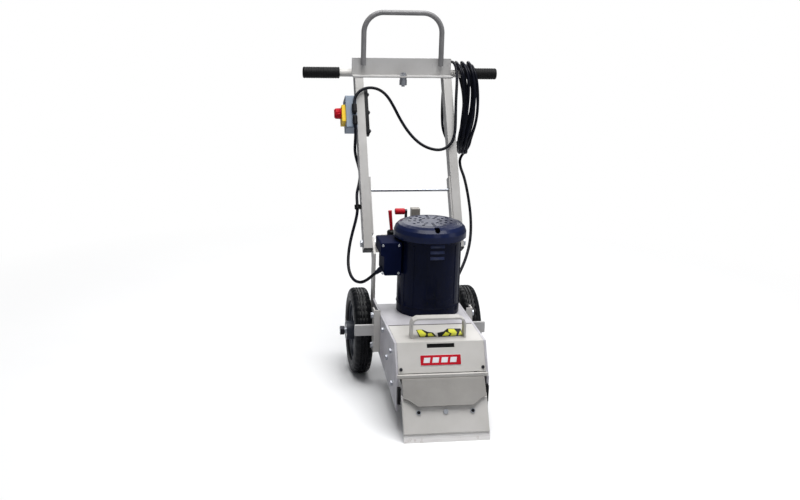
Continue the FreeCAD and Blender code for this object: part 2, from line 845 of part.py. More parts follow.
def make_cover_screws():
    """Two screws at the lower corners of the cover's front."""
    lean = math.atan2(SIZES["deck_top"] - SIZES["face_foot_height"], SIZES["face_top_reach"] - SIZES["face_foot_reach"])
    inward = Vector(0, math.sin(lean), -math.cos(lean))
    shapes = []
    for side in (-1, 1):
        height = 166.0
        reach = SIZES["face_foot_reach"] + (height - SIZES["face_foot_height"]) / math.tan(lean)
        start = Vector(side * 111, SIZES["nose_y"] + reach, height)
        screw = Part.makeCylinder(2.5, 8, start, inward).fuse(Part.makeCylinder(4.5, 2.5, start - inward * 2.5, inward))
        shapes.append(screw.removeSplitter())
    node(feature("cover_screw_set", Part.makeCompound(shapes)), "cover_screws")


# ---- handle -------------------------------------------------------------------------------------------------------
# Pieces on the handle are drawn in its own frame: origin on the pivot bolt, Z up along the tubes, -Y their front.

HANDLE_TURN = -S["handle_lean"]


def on_handle(thing):
    """Move an object from the handle's own frame to the machine's."""
    return place(thing, y=back(S["pivot_reach"]), z=S["pivot_height"], axis=X_AXIS, angle=HANDLE_TURN)


def handle_point(x, y, z):
    """Return the machine's place of a point in the handle's own frame."""
    turn = FreeCAD.Rotation(X_AXIS, HANDLE_TURN.value)
    origin = Vector(0, SIZES["nose_y"] + SIZES["pivot_reach"], SIZES["pivot_height"])
    return origin + turn.multVec(Vector(x, y, z))


def make_handle_tubes():
    inner_x = S["tube_inner_x"] + 0.1
    deep = S["tube_deep"]
    wall = S["tube_wall"]
    low = -S["tube_below"]
    length = S["tube_below"] + S["tube_above"]
    outer = box("tube_outer", (inner_x, -deep / 2, low), (S["tube_wide"], deep, length))
    inner = box("tube_room", (inner_x + wall, -deep / 2 + wall, low - 1),
                (S["tube_wide"] - wall * 2, deep - wall * 2, length - 2))
    bore = cylinder("tube_pivot_bore", 6.05, 40, (inner_x - 1, 0, 0), Y_AXIS, 90)
    tube = cut("handle_tube", outer, fuse("tube_cuts", [inner, bore]))
    pair = left_and_right(tube)
    on_handle(pair)
    trim = box("tube_top_trim", (-200, back(700), S["crossbar_low"]), (400, 300, 60))
    node(cut("handle_tubes_trimmed", pair, trim), "handle_tubes")
    cap = new_body("tube_cap")
    pad(cap, "XY_Plane", [rectangle(inner_x, -deep / 2, inner_x + S["tube_wide"], deep / 2)], 4)
    place(cap, z=low - 4)
    node(on_handle(left_and_right(cap)), "tube_caps")


def make_handle_straps():
    """Flat bars on the tubes' inner faces that carry the cross rod."""
    body = new_body("handle_strap")
    pad(body, "YZ_Plane", [rectangle(-16, 26, 16, 202)], 5.5, circles=[(0, 164, 4.5)])
    place(body, x=S["tube_inner_x"] - 5.4)
    node(on_handle(left_and_right(body)), "handle_straps")
    half = S["tube_inner_x"] + 0.1
    rod = cylinder("rod_solid", 4.5, half * 2, (-half, 0, 164), Y_AXIS, 90)
    node(on_handle(group("rod_group", [rod])), "cross_rod")


def make_pivot_bolts():
    shapes = []
    head = SIZES["tube_inner_x"] + SIZES["tube_wide"] + 0.1
    for side in (-1, 1):
        inward = Vector(-side, 0, 0)
        screw = bolt(handle_point(side * head, 0, 0), inward, 6, 46)
        end_nut = hexagon(19, 9, handle_point(side * (SIZES["side_outer_x"] - SIZES["post_thick"] - 0.3), 0, 0), inward)
        shapes.append(screw.fuse(end_nut).removeSplitter())
    node(feature("pivot_bolt_set", Part.makeCompound(shapes)), "pivot_bolts")


def make_crossbar():
    """The angle iron across the tubes' tops, with its flange at the bottom pointing forward."""
    body = new_body("crossbar")
    rear = back(S["crossbar_back_reach"])
    front = rear - S["crossbar_deep"]
    low = S["crossbar_low"]
    thick = S["angle_thick"]
    corners = [
        (front, low), (rear, low), (rear, low + S["crossbar_tall"]), (rear - thick, low + S["crossbar_tall"]),
        (rear - thick, low + thick), (front, low + thick),
    ]
    pad(body, "YZ_Plane", [corners], S["crossbar_half"] * 2, both_ways=True)
    pocket_through(body, "XY_Plane", circles=[(2, front + 17, 5.05)])
    node(body, "crossbar")
    nose = SIZES["nose_y"]
    spot = Vector(2, nose + SIZES["crossbar_back_reach"] - SIZES["crossbar_deep"] + 17, SIZES["crossbar_low"])
    top = spot + Vector(0, 0, SIZES["angle_thick"])
    down = Vector(0, 0, -1)
    screw = bolt(top + Vector(0, 0, 3), down, 5, 36)
    washer = Part.makeCylinder(10, 3, top, Z_AXIS)
    ring = Part.makeCylinder(10.5, 8, spot + down * 8, Z_AXIS)
    lower = hexagon(20, 16, spot + down * 8, down)
    whole = screw.fuse([washer, ring, lower])
    node(feature("crossbar_bolt_shape", whole.removeSplitter()), "crossbar_bolt")


def make_handlebar():
    radius = S["bar_radius"]
    spot = (-S["bar_half"], back(S["bar_reach"]), S["bar_height"])
    outer = cylinder("bar_tube_outer", radius, S["bar_half"] * 2, spot, Y_AXIS, 90)
    inner = cylinder("bar_tube_inner", radius - 2.5, S["bar_half"] * 2, spot, Y_AXIS, 90)
    node(cut("bar_tube", outer, inner), "handlebar")
    grip = new_body("handle_grip")
    end = S["grip_length"]
    radius_out = S["grip_radius"]
    lathe(grip, [
        (radius, 0), (radius_out - 1, 0), (radius_out, 2), (radius_out, end - 4), (radius_out - 3, end),
        (0, end), (0, end - 4), (radius, end - 4),
    ])
    start = S["grip_end_x"] - end
    place(grip, x=start, y=back(S["bar_reach"]), z=S["bar_height"], axis=Y_AXIS, angle=90)
    node(left_and_right(grip), "handle_grips")


def make_loop_handle():
    """The round bar bent into a flat-topped loop that stands on the crossbar."""
    half = SIZES["loop_half"]
    bend = SIZES["loop_bend"]
    low = SIZES["loop_low"]
    top = SIZES["loop_top"]
    corner = bend * (1 - math.sqrt(0.5))
    edges = [
        Part.LineSegment(Vector(-half, 0, low), Vector(-half, 0, top - bend)),
        Part.Arc(Vector(-half, 0, top - bend), Vector(-half + corner, 0, top - corner),
                 Vector(-half + bend, 0, top)),
        Part.LineSegment(Vector(-half + bend, 0, top), Vector(half - bend, 0, top)),
        Part.Arc(Vector(half - bend, 0, top), Vector(half - corner, 0, top - corner), Vector(half, 0, top - bend)),
        Part.LineSegment(Vector(half, 0, top - bend), Vector(half, 0, low)),
    ]
    path = Part.Wire([edge.toShape() for edge in edges])
    section = Part.Wire([Part.makeCircle(SIZES["loop_radius"], Vector(-half, 0, low), Z_AXIS)])
    solid = path.makePipeShell([section], True, True)
    thing = feature("loop_shape", solid)
    front = SIZES["crossbar_back_reach"] - SIZES["angle_thick"] - SIZES["loop_radius"] + 0.4
    thing.Placement = FreeCAD.Placement(Vector(0, SIZES["nose_y"] + front, 0), FreeCAD.Rotation())
    node(thing, "loop_handle")


# ---- switch -------------------------------------------------------------------------------------------------------


def make_switch():
    """The switch box on the left tube's outer face, its plate and its rotary knob."""
    face = S["tube_inner_x"] + S["tube_wide"] + 0.1
    wide, front, rear, low, high, knob, plate_middle = 33, -22, 36, 356, 459, 411, 404
    middle = (front + rear) / 2
    shell = new_body("switch_case")
    pad(shell, "YZ_Plane", [rectangle(front, low, rear, high)], wide)
    round_edges(shell, 3, lambda edge: abs(edge.CenterOfMass.x - wide / 2) < 0.1)
    place(shell, x=-face - wide)
    room = box("switch_room", (-face - wide + 3, front + 3, low + 3), (wide - 6, rear - front - 6, high - low - 6))
    bore = cylinder("switch_spindle_bore", 6, 8, (-face - wide - 2, middle, knob), Y_AXIS, 90)
    node(on_handle(cut("switch_shell", shell, fuse("switch_cuts", [room, bore]))), "switch_box")
    plate = box("plate_body", (-face - wide - 12, middle - 24, plate_middle - 26), (12, 48, 52))
    plate_bore = cylinder("plate_bore", 6, 20, (-face - wide - 15, middle, knob), Y_AXIS, 90)
    node(on_handle(cut("switch_plate_bored", plate, plate_bore)), "switch_plate")
    knob_x = -face - wide - 12.4
    disc = cylinder("knob_disc", 17, 17, (knob_x, middle, knob), Y_AXIS, -90)
    spindle = cylinder("knob_spindle", 5.94, 34, (knob_x, middle, knob), Y_AXIS, 90)
    node(on_handle(fuse("knob", [disc, spindle])), "switch_knob")


def make_cord_glands():
    """Two elbow glands on the switch box and the clamp that holds the motor cord to the tube."""
    shapes = []
    radius = SIZES["cord_diameter"] / 2 + 0.1
    for low, way in ((405, 1), (385, -1)):
        base = Part.makeCylinder(7, 8, Vector(-158, -22, low), Vector(0, -1, 0))
        elbow = Part.makeSphere(7.8, Vector(-158, -30, low))
        neck = Part.makeCylinder(7.4, 22, Vector(-158, -30, low), Vector(0, 0, way))
        bore = Part.makeCylinder(radius, 8, Vector(-158, -30, low + 14 * way), Vector(0, 0, way))
        shapes.append(base.fuse([elbow, neck]).cut(bore))
    clamp_x = -SIZES["tube_inner_x"] - SIZES["tube_wide"] - 0.1 - 11
    ring = Part.makeCylinder(8.5, 12, Vector(clamp_x, 0, 107), Z_AXIS)
    ring = ring.fuse(Part.makeBox(8, 10, 12, Vector(clamp_x + 3, -5, 107)))
    ring = ring.cut(Part.makeCylinder(radius + 0.2, 12, Vector(clamp_x, 0, 107), Z_AXIS))
    shapes.append(ring)
    thing = feature("gland_set", Part.makeCompound([shape.removeSplitter() for shape in shapes]))
    node(on_handle(thing), "cord_glands")


# ---- height crank and lock lever ----------------------------------------------------------------------------------


def make_crank():
    """The square jack post behind the motor, its side crank and the crank's grip."""
    y = back(552)
    axis, reach = 452, 34
    outer = box("jack_outer", (-12, y - 12, 180), (25, 24, 315))
    bore = cylinder("jack_bore", 5.08, 20, (-14, y, axis), Y_AXIS, 90)
    node(cut("jack", outer, bore), "jack_post")
    spindle = cylinder("crank_spindle", 5, 24, (-26, y, axis), Y_AXIS, 90)
    web = new_body("crank_web")
    pad(web, "YZ_Plane", [[(-6, -4), (-3, -7), (3, -7), (6, -4), (6, reach + 3), (3, reach + 6),
                           (-3, reach + 6), (-6, reach + 3)]], 6)
    place(web, x=-30, y=y, z=axis)
    pin = cylinder("crank_pin", 3.5, 34, (-60, y, axis + reach), Y_AXIS, 90)
    node(fuse("crank", [spindle, web, pin]), "crank_arm")
    grip = new_body("crank_grip")
    lathe(grip, [(3.55, 0), (8, 0), (9.2, 2), (9.2, 25), (8, 28.5), (3.55, 28.5)])
    place(grip, x=-59.5, y=y, z=axis + reach, axis=Y_AXIS, angle=90)
    node(grip, "crank_grip")


def make_lock_lever():
    """The red clamping lever on its black hub, on a bracket from the left post."""
    y = back(538)
    bracket = new_body("lever_bracket")
    corners = [(-117.4, 368), (-117.4, 392), (-98, 420), (-61.5, 420), (-61.5, 408), (-92, 408), (-104, 390), (-104, 368)]
    pad(bracket, "XZ_Plane", [corners], 12)
    place(bracket, y=y + 6)
    bore = cylinder("bracket_bore", 4.08, 30, (-72, y, 400))
    node(cut("bracket", bracket, bore), "lever_bracket")
    hub = new_body("lever_hub")
    lathe(hub, [(0, 398), (4, 398), (4, 420.2), (12, 420.2), (12, 430), (8, 434), (0, 434)])
    place(hub, x=-72, y=y)
    node(hub, "lever_hub")
    start = Vector(-71, y.value, 434.05)
    tip = Vector(-77, y.value, 492)
    direction = (tip - start).normalize()
    lever = Part.makeCone(4.5, 5.5, (tip - start).Length, start, direction)
    lever = lever.cut(Part.makeBox(30, 30, 10, start - Vector(15, 15, 10)))
    node(feature("lever_shape", lever), "lock_lever")


# ---- cords --------------------------------------------------------------------------------------------------------
# Each route is a list of points in the machine's frame; arcs round its corners as widely as its runs allow.

DRAPE = [
    (-158, 310.5, 763.9), (-158, 320.9, 781.8), (-150, 330, 798), (-135.5, 337, 810.5), (-116, 341, 817),
    (-95.5, 340, 817), (-75.5, 337, 810.5), (-56, 329, 795), (-38, 318, 766), (-18, 304, 726), (4, 290, 692),
    (27, 275, 667), (49, 263, 652), (72, 254, 644), (97, 249, 641.5), (121, 249, 651), (138, 256, 669.5),
    (147, 271, 697), (151, 292, 735), (155, 315, 778), (160, 335, 814), (164, 352, 844), (166, 372, 870),
    (165, 397, 885), (162, 425, 890), (158, 451, 881), (155, 471, 861), (152, 482, 834), (150, 485, 802),
    (149, 485.5, 768), (149, 485, 733), (150, 484.5, 700), (152, 482, 674), (157, 474, 653),
    (163, 460, 637.5), (170, 440, 629), (177, 418, 629), (184, 398, 637), (190, 383, 653), (194, 375, 676),
    (197, 374, 708), (197, 375.5, 742),
]
TAIL = [
    (194, 424, 609), (199, 403, 577), (207, 378, 529), (215, 342, 470), (217, 304, 408), (208, 264, 352),
    (187, 226, 306), (161, 191, 271), (137, 162, 245), (119, 144, 227), (101, 131, 216), (82, 120, 211),
]
MOTOR_CORD = [
    (-158, 286.5, 722.3), (-158, 277, 705.8), (-158, 273.6, 685.9), (-158, 278, 665.5), (-157.5, 286.9, 647),
    (-156, 293.9, 628), (-151.5, 293.1, 607.7), (-145, 284.5, 584.9), (-142, 271.3, 566), (-145, 258.6, 547.9),
    (-150.5, 244.6, 531.7), (-156.5, 227.1, 520.4), (-160, 207.9, 510.2), (-161.1, 190, 495.1),
    (-161.1, 177, 472.6), (-168, 164, 446), (-179, 150, 414), (-189, 132, 382), (-196, 109, 351),
    (-198, 84, 323), (-192, 60, 303), (-181, 39, 296), (-167, 19, 299), (-153, 4, 312), (-137.8, -10.9, 330.9),
    (-124.6, -20.8, 345.4),
]


def unit(vector):
    return Vector(vector) / vector.Length


def cord_tube(name, route):
    """Sweep the cord's round section along straight runs joined by tangent arcs."""
    points = [Vector(*point) for point in route]
    edges = []
    start = points[0]
    radii = []
    for before, corner, after in zip(points, points[1:], points[2:]):
        come, leave = unit(corner - before), unit(after - corner)
        half_turn = come.getAngle(leave) / 2
        shorter = min((corner - before).Length, (after - corner).Length)
        radius = 0.45 * shorter / math.tan(half_turn)
        radii.append(radius)
        inset = 0.45 * shorter
        first, last = corner - come * inset, corner + leave * inset
        bisector = unit(leave - come)
        centre = corner + bisector * (radius / math.cos(half_turn))
        middle = centre - bisector * radius
        edges.append(Part.LineSegment(start, first).toShape())
        edges.append(Part.Arc(first, middle, last).toShape())
        start = last
    edges.append(Part.LineSegment(start, points[-1]).toShape())
    path = Part.Wire(edges)
    radius = SIZES["cord_diameter"] / 2
    section = Part.Wire([Part.makeCircle(radius, points[0], unit(points[1] - points[0]))])
    solid = path.makePipeShell([section], True, True)
    expected = math.pi * radius ** 2 * path.Length
    if abs(solid.Volume / expected - 1) > 0.01:
        raise RuntimeError(f"{name}: volume {solid.Volume:.0f} against {expected:.0f}")
    print(f"{name}: length {path.Length:.0f} mm, radii " + " ".join(f"{value:.0f}" for value in radii))
    node(feature(name + "_shape", solid), name)


def make_coil():
    """The outer shape of the turns that hang over the right grip: an oval ring, narrower at its foot."""
    centre_y = S["nose_y"].value + S["bar_reach"].value
    ring = []
    for half, top, low in ((60, 890, 597), (38, 870.2, 635)):
        bend = half
        outline = [
            Part.LineSegment(Vector(0, -half, low + bend), Vector(0, -half, top - bend)),
            Part.Arc(Vector(0, -half, top - bend), Vector(0, 0, top), Vector(0, half, top - bend)),
            Part.LineSegment(Vector(0, half, top - bend), Vector(0, half, low + bend)),
            Part.Arc(Vector(0, half, low + bend), Vector(0, 0, low), Vector(0, -half, low + bend)),
        ]
        face = Part.Face(Part.Wire([edge.toShape() for edge in outline]))
        ring.append(face.extrude(Vector(120, 0, 0)))
    solid = ring[0].cut(ring[1])
    solid.translate(Vector(150, centre_y, 0))
    silhouette = [
        (171, 852), (171, 895), (236, 895), (252, 850), (257, 800), (254, 745), (245, 680), (230, 612), (214, 590),
        (188, 590), (183, 625), (186, 700), (188, 800), (180, 835),
    ]
    points = [Vector(x, 300, z) for x, z in silhouette]
    prism = Part.Face(Part.makePolygon(points + points[:1])).extrude(Vector(0, 250, 0))
    node(feature("coil_shape", solid.common(prism).removeSplitter()), "power_cord_coil")


def make_plug():
    """The plug at the cord's end, lying on the crossmember: a grip, a round face and three pins."""
    start = Vector(*TAIL[-1])
    direction = unit(start - Vector(*TAIL[-2]))
    neck = Part.makeCone(7, 13, 26, start, direction)
    body = Part.makeCylinder(17, 34, start + direction * 26, direction)
    whole = neck.fuse(body)
    side = unit(direction.cross(Z_AXIS))
    for offset in (side * 7, side * -7, Vector(0, 0, 8)):
        whole = whole.fuse(Part.makeCylinder(2.6, 20, start + direction * 58 + offset, direction))
    node(feature("plug_shape", whole.removeSplitter()), "power_plug")


def main():
    make_side_plates()
    make_rear_deck()
    make_front_lip()
    make_front_guard()
    make_edge_strips()
    make_side_bars()
    make_handle_posts()
    make_frame_bolts()
    make_axle()
    make_wheel(-1, "left")
    make_wheel(1, "right")
    make_wheel_bearings()
    make_motor()
    make_fan()
    make_fan_cover()
    make_junction_box()
    make_motor_gland()
    make_head_arm(make_blade())
    make_blade_bolts()
    make_guide_rails()
    make_front_cover()
    make_cover_screws()
    make_handle_tubes()
    make_handle_straps()
    make_pivot_bolts()
    make_crossbar()
    make_handlebar()
    make_loop_handle()
    make_switch()
    make_cord_glands()
    make_crank()
    make_lock_lever()
    cord_tube("power_cord_drape", DRAPE)
    make_coil()
    cord_tube("power_cord_tail", TAIL)
    cord_tube("motor_cord", MOTOR_CORD)
    make_plug()
    doc.recompute()
    for thing in doc.Objects:
        if "Invalid" in thing.State or "Error" in thing.State:
            raise RuntimeError(f"{thing.Name}: {thing.State}")
    os.makedirs("parts", exist_ok=True)
    for thing in nodes:
        shape = thing.Shape
        if shape.isNull() or not shape.isValid() or not shape.Solids:
            raise RuntimeError(f"{thing.Label} has no valid solid")
        shape.exportStep(f"parts/{thing.Label}.step")
        print(f"{thing.Label}: {len(shape.Solids)} solid(s), {shape.Volume / 1000:.1f} cm3")


main()
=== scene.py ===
import json
import math

import bmesh
import bpy
from mathutils import Matrix, Vector


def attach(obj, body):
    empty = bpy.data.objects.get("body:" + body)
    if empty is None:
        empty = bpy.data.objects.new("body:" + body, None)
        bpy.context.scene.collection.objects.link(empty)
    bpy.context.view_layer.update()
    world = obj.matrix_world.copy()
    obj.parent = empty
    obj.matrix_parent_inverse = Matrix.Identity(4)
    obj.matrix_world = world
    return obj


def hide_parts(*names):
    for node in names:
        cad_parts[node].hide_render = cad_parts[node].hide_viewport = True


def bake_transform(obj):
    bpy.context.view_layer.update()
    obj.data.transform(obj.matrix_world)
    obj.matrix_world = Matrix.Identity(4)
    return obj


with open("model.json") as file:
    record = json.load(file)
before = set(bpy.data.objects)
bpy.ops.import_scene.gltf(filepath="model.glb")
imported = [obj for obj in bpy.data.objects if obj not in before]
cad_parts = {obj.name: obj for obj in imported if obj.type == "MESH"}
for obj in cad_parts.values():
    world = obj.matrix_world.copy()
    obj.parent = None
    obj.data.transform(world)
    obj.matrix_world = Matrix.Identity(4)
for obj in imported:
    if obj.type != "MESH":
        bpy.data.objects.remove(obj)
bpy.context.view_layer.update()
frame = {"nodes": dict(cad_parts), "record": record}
NODES = frame["nodes"]

MM = 0.001


def srgb(red, green, blue):
    """Return a display colour, 0 to 255, as the linear colour a shader takes."""
    linear = []
    for value in (red, green, blue):
        value /= 255
        linear.append(value / 12.92 if value <= 0.04045 else ((value + 0.055) / 1.055) ** 2.4)
    return (*linear, 1)


# ---- materials ----------------------------------------------------------------------------------------


class Finish:
    """A node material: one Principled shader and the patterns that feed it."""

    def __init__(self, name, roughness, metallic=0.0, coat=0.0, coat_roughness=0.1, specular=0.5):
        self.material = bpy.data.materials.new(name)
        self.material.use_nodes = True
        self.tree = self.material.node_tree
        self.shader = self.tree.nodes["Principled BSDF"]
        self.shader.inputs["Roughness"].default_value = roughness
        self.shader.inputs["Metallic"].default_value = metallic
        self.shader.inputs["Specular IOR Level"].default_value = specular
        self.shader.inputs["Coat Weight"].default_value = coat
        self.shader.inputs["Coat Roughness"].default_value = coat_roughness
        self.place = self.add("ShaderNodeTexCoord").outputs["Object"]
        self.normal = None

    def add(self, kind):
        return self.tree.nodes.new(kind)

    def feed(self, socket, value):
        if isinstance(value, bpy.types.NodeSocket):
            self.tree.links.new(value, socket)
        else:
            socket.default_value = value

    def stretched(self, scale, turn=(0, 0, 0)):
        """Return the object coordinates scaled, and turned by degrees."""
        node = self.add("ShaderNodeMapping")
        self.feed(node.inputs["Vector"], self.place)
        node.inputs["Scale"].default_value = scale
        node.inputs["Rotation"].default_value = [math.radians(angle) for angle in turn]
        return node.outputs["Vector"]

    def noise(self, scale, detail, roughness=0.55, distortion=0.0, vector=None):
        node = self.add("ShaderNodeTexNoise")
        self.feed(node.inputs["Vector"], vector or self.place)
        node.inputs["Scale"].default_value = scale
        node.inputs["Detail"].default_value = detail
        node.inputs["Roughness"].default_value = roughness
        node.inputs["Distortion"].default_value = distortion
        return node.outputs["Fac"]

    def waves(self, scale, direction, distortion):
        node = self.add("ShaderNodeTexWave")
        node.wave_type = "BANDS"
        node.bands_direction = direction
        self.feed(node.inputs["Vector"], self.place)
        node.inputs["Scale"].default_value = scale
        node.inputs["Distortion"].default_value = distortion
        return node.outputs["Fac"]

    def ramp(self, fac, *stops):
        """Return fac turned into a colour; each stop is a position and a colour or a grey."""
        node = self.add("ShaderNodeValToRGB")
        self.feed(node.inputs["Fac"], fac)
        while len(node.color_ramp.elements) < len(stops):
            node.color_ramp.elements.new(0.5)
        for element, (position, colour) in zip(node.color_ramp.elements, stops):
            element.position = position
            element.color = colour if isinstance(colour, tuple) else (colour, colour, colour, 1)
        return node.outputs["Color"]

    def mix(self, fac, first, second):
        """Return the colour that goes from first to second as fac goes from 0 to 1."""
        node = self.add("ShaderNodeMix")
        node.data_type = "RGBA"
        self.feed(node.inputs[0], fac)
        self.feed(node.inputs[6], first)
        self.feed(node.inputs[7], second)
        return node.outputs[2]

    def math(self, operation, first, second):
        node = self.add("ShaderNodeMath")
        node.operation = operation
        self.feed(node.inputs[0], first)
        self.feed(node.inputs[1], second)
        return node.outputs[0]

    def coordinate(self, axis):
        """Return one object coordinate, by its letter."""
        node = self.add("ShaderNodeSeparateXYZ")
        self.feed(node.inputs[0], self.place)
        return node.outputs[axis]

    def bevelled(self, radius):
        """Return the surface's normal as it is where sharp edges are rounded to that radius."""
        bevel = self.add("ShaderNodeBevel")
        bevel.samples = 6
        bevel.inputs["Radius"].default_value = radius
        return bevel.outputs[0]

    def edges(self, radius):
        """Return a mask that is 1 at sharp edges and 0 away from them."""
        true = self.add("ShaderNodeNewGeometry").outputs["Normal"]
        dot = self.add("ShaderNodeVectorMath")
        dot.operation = "DOT_PRODUCT"
        self.feed(dot.inputs[0], self.bevelled(radius))
        self.feed(dot.inputs[1], true)
        away = self.math("SUBTRACT", 1.0, dot.outputs["Value"])
        return self.ramp(away, (0.02, 0.0), (0.22, 1.0))

    def round_off(self, radius):
        """Let the light fall on sharp edges as on edges of that radius."""
        self.normal = self.bevelled(radius)

    def colour(self, value):
        self.feed(self.shader.inputs["Base Color"], value)

    def rough(self, fac, low, high):
        """Vary the roughness from low to high with fac."""
        node = self.add("ShaderNodeMapRange")
        self.feed(node.inputs["Value"], fac)
        node.inputs["To Min"].default_value = low
        node.inputs["To Max"].default_value = high
        self.feed(self.shader.inputs["Roughness"], node.outputs["Result"])

    def bump(self, height, strength, distance):
        node = self.add("ShaderNodeBump")
        self.feed(node.inputs["Height"], height)
        node.inputs["Strength"].default_value = strength
        node.inputs["Distance"].default_value = distance
        if self.normal:
            self.feed(node.inputs["Normal"], self.normal)
        self.normal = node.outputs["Normal"]

    def done(self):
        if self.normal:
            self.feed(self.shader.inputs["Normal"], self.normal)
        return self.material


def painted_steel(name, light, mid, chip, roughness=0.4, scuffs=0.35, foot=None):
    """Sprayed paint on welded steel: cloudy tone, orange peel, worn edges and a few scuffs.

    A foot is two heights, in metres, between which patches of the third value's colour, which make the paint
    darker towards the bottom, fade out.
    """
    paint = Finish(name, roughness, coat=0.15, coat_roughness=0.3)
    paint.round_off(0.0012)
    cloud = paint.noise(9, 4)
    tone = paint.ramp(cloud, (0.35, mid), (0.68, light))
    scratch = paint.noise(30, 5, 0.75, 0.6, paint.stretched((5, 1, 1), (12, 0, 31)))
    scuff = paint.ramp(scratch, (0.665, 0.0), (0.7, 1.0))
    tone = paint.mix(paint.math("MULTIPLY", scuff, scuffs), tone, chip)
    chips = paint.ramp(paint.noise(48, 3), (0.42, 0.0), (0.62, 1.0))
    worn = paint.math("MULTIPLY", paint.edges(0.0016), chips)
    tone = paint.mix(paint.math("MULTIPLY", worn, 0.75), tone, chip)
    # Patches that make the paint darker towards the bottom, between the foot's two heights.
    if foot:
        low, high, patch_colour = foot
        rise = paint.add("ShaderNodeMapRange")
        paint.feed(rise.inputs["Value"], paint.coordinate("Z"))
        rise.inputs["From Min"].default_value = low
        rise.inputs["From Max"].default_value = high
        rise.inputs["To Min"].default_value = 1
        rise.inputs["To Max"].default_value = 0
        patches = paint.ramp(paint.noise(22, 5, 0.7), (0.4, 0.15), (0.7, 1.0))
        lower_darkening = paint.math("MULTIPLY", rise.outputs["Result"], patches)
        tone = paint.mix(paint.math("MULTIPLY", lower_darkening, 0.6), tone, patch_colour)
    paint.colour(tone)
    paint.rough(paint.noise(14, 4), roughness - 0.08, roughness + 0.14)
    paint.bump(paint.noise(520, 2), 0.12, 0.0004)
    return paint.done()


def bare_metal(name, dark, light, roughness, scale=(1, 1, 60), turn=(0, 0, 0), rust=None, metallic=1.0):
    """Ground or plated metal, with fine lines one way and duller clouds."""
    metal = Finish(name, roughness, metallic=metallic)
    metal.round_off(0.0006)
    lines = metal.noise(22, 4, 0.6, 0.0, metal.stretched(scale, turn))
    tone = metal.ramp(lines, (0.3, dark), (0.7, light))
    if rust:
        spots = metal.ramp(metal.noise(38, 5, 0.7), (0.56, 0.0), (0.7, 1.0))
        tone = metal.mix(metal.math("MULTIPLY", spots, 0.55), tone, rust)
    metal.colour(tone)
    metal.rough(metal.noise(40, 3), roughness - 0.08, roughness + 0.16)
    metal.bump(lines, 0.1, 0.0003)
    return metal.done()


def moulded(name, tone, sheen_tone, roughness, grain=700, depth=0.2, patch_colour=None, specular=0.14):
    """Rubber or plastic with a fine grain, and a dusty film that settles in patches."""
    plastic = Finish(name, roughness, specular=specular)
    plastic.round_off(0.0007)
    colour = plastic.ramp(plastic.noise(16, 4), (0.35, tone), (0.7, sheen_tone))
    if patch_colour:
        patch = plastic.ramp(plastic.noise(26, 5, 0.7), (0.5, 0.0), (0.72, 1.0))
        colour = plastic.mix(plastic.math("MULTIPLY", patch, 0.5), colour, patch_colour)
    plastic.colour(colour)
    plastic.rough(plastic.noise(30, 3), roughness - 0.07, roughness + 0.1)
    plastic.bump(plastic.noise(grain, 2), depth, 0.0003)
    return plastic.done()


def enamel(name, deep, bright, roughness=0.2, specular=0.12, coat=0.08):
    """Thick gloss paint on a cast or pressed part, slightly wavy."""
    paint = Finish(name, roughness, coat=coat, coat_roughness=0.08, specular=specular)
    paint.round_off(0.0014)
    paint.colour(paint.ramp(paint.noise(7, 3), (0.35, deep), (0.7, bright)))
    paint.rough(paint.noise(12, 4), roughness - 0.04, roughness + 0.14)
    paint.bump(paint.noise(120, 3), 0.1, 0.0006)
    return paint.done()


def laminated(name):
    steel = Finish(name, 0.45, metallic=0.8)
    bands = steel.waves(320, "Z", 0.4)
    steel.colour(steel.ramp(bands, (0.2, srgb(78, 74, 68)), (0.8, srgb(160, 154, 146))))
    steel.bump(bands, 0.4, 0.0004)
    return steel.done()


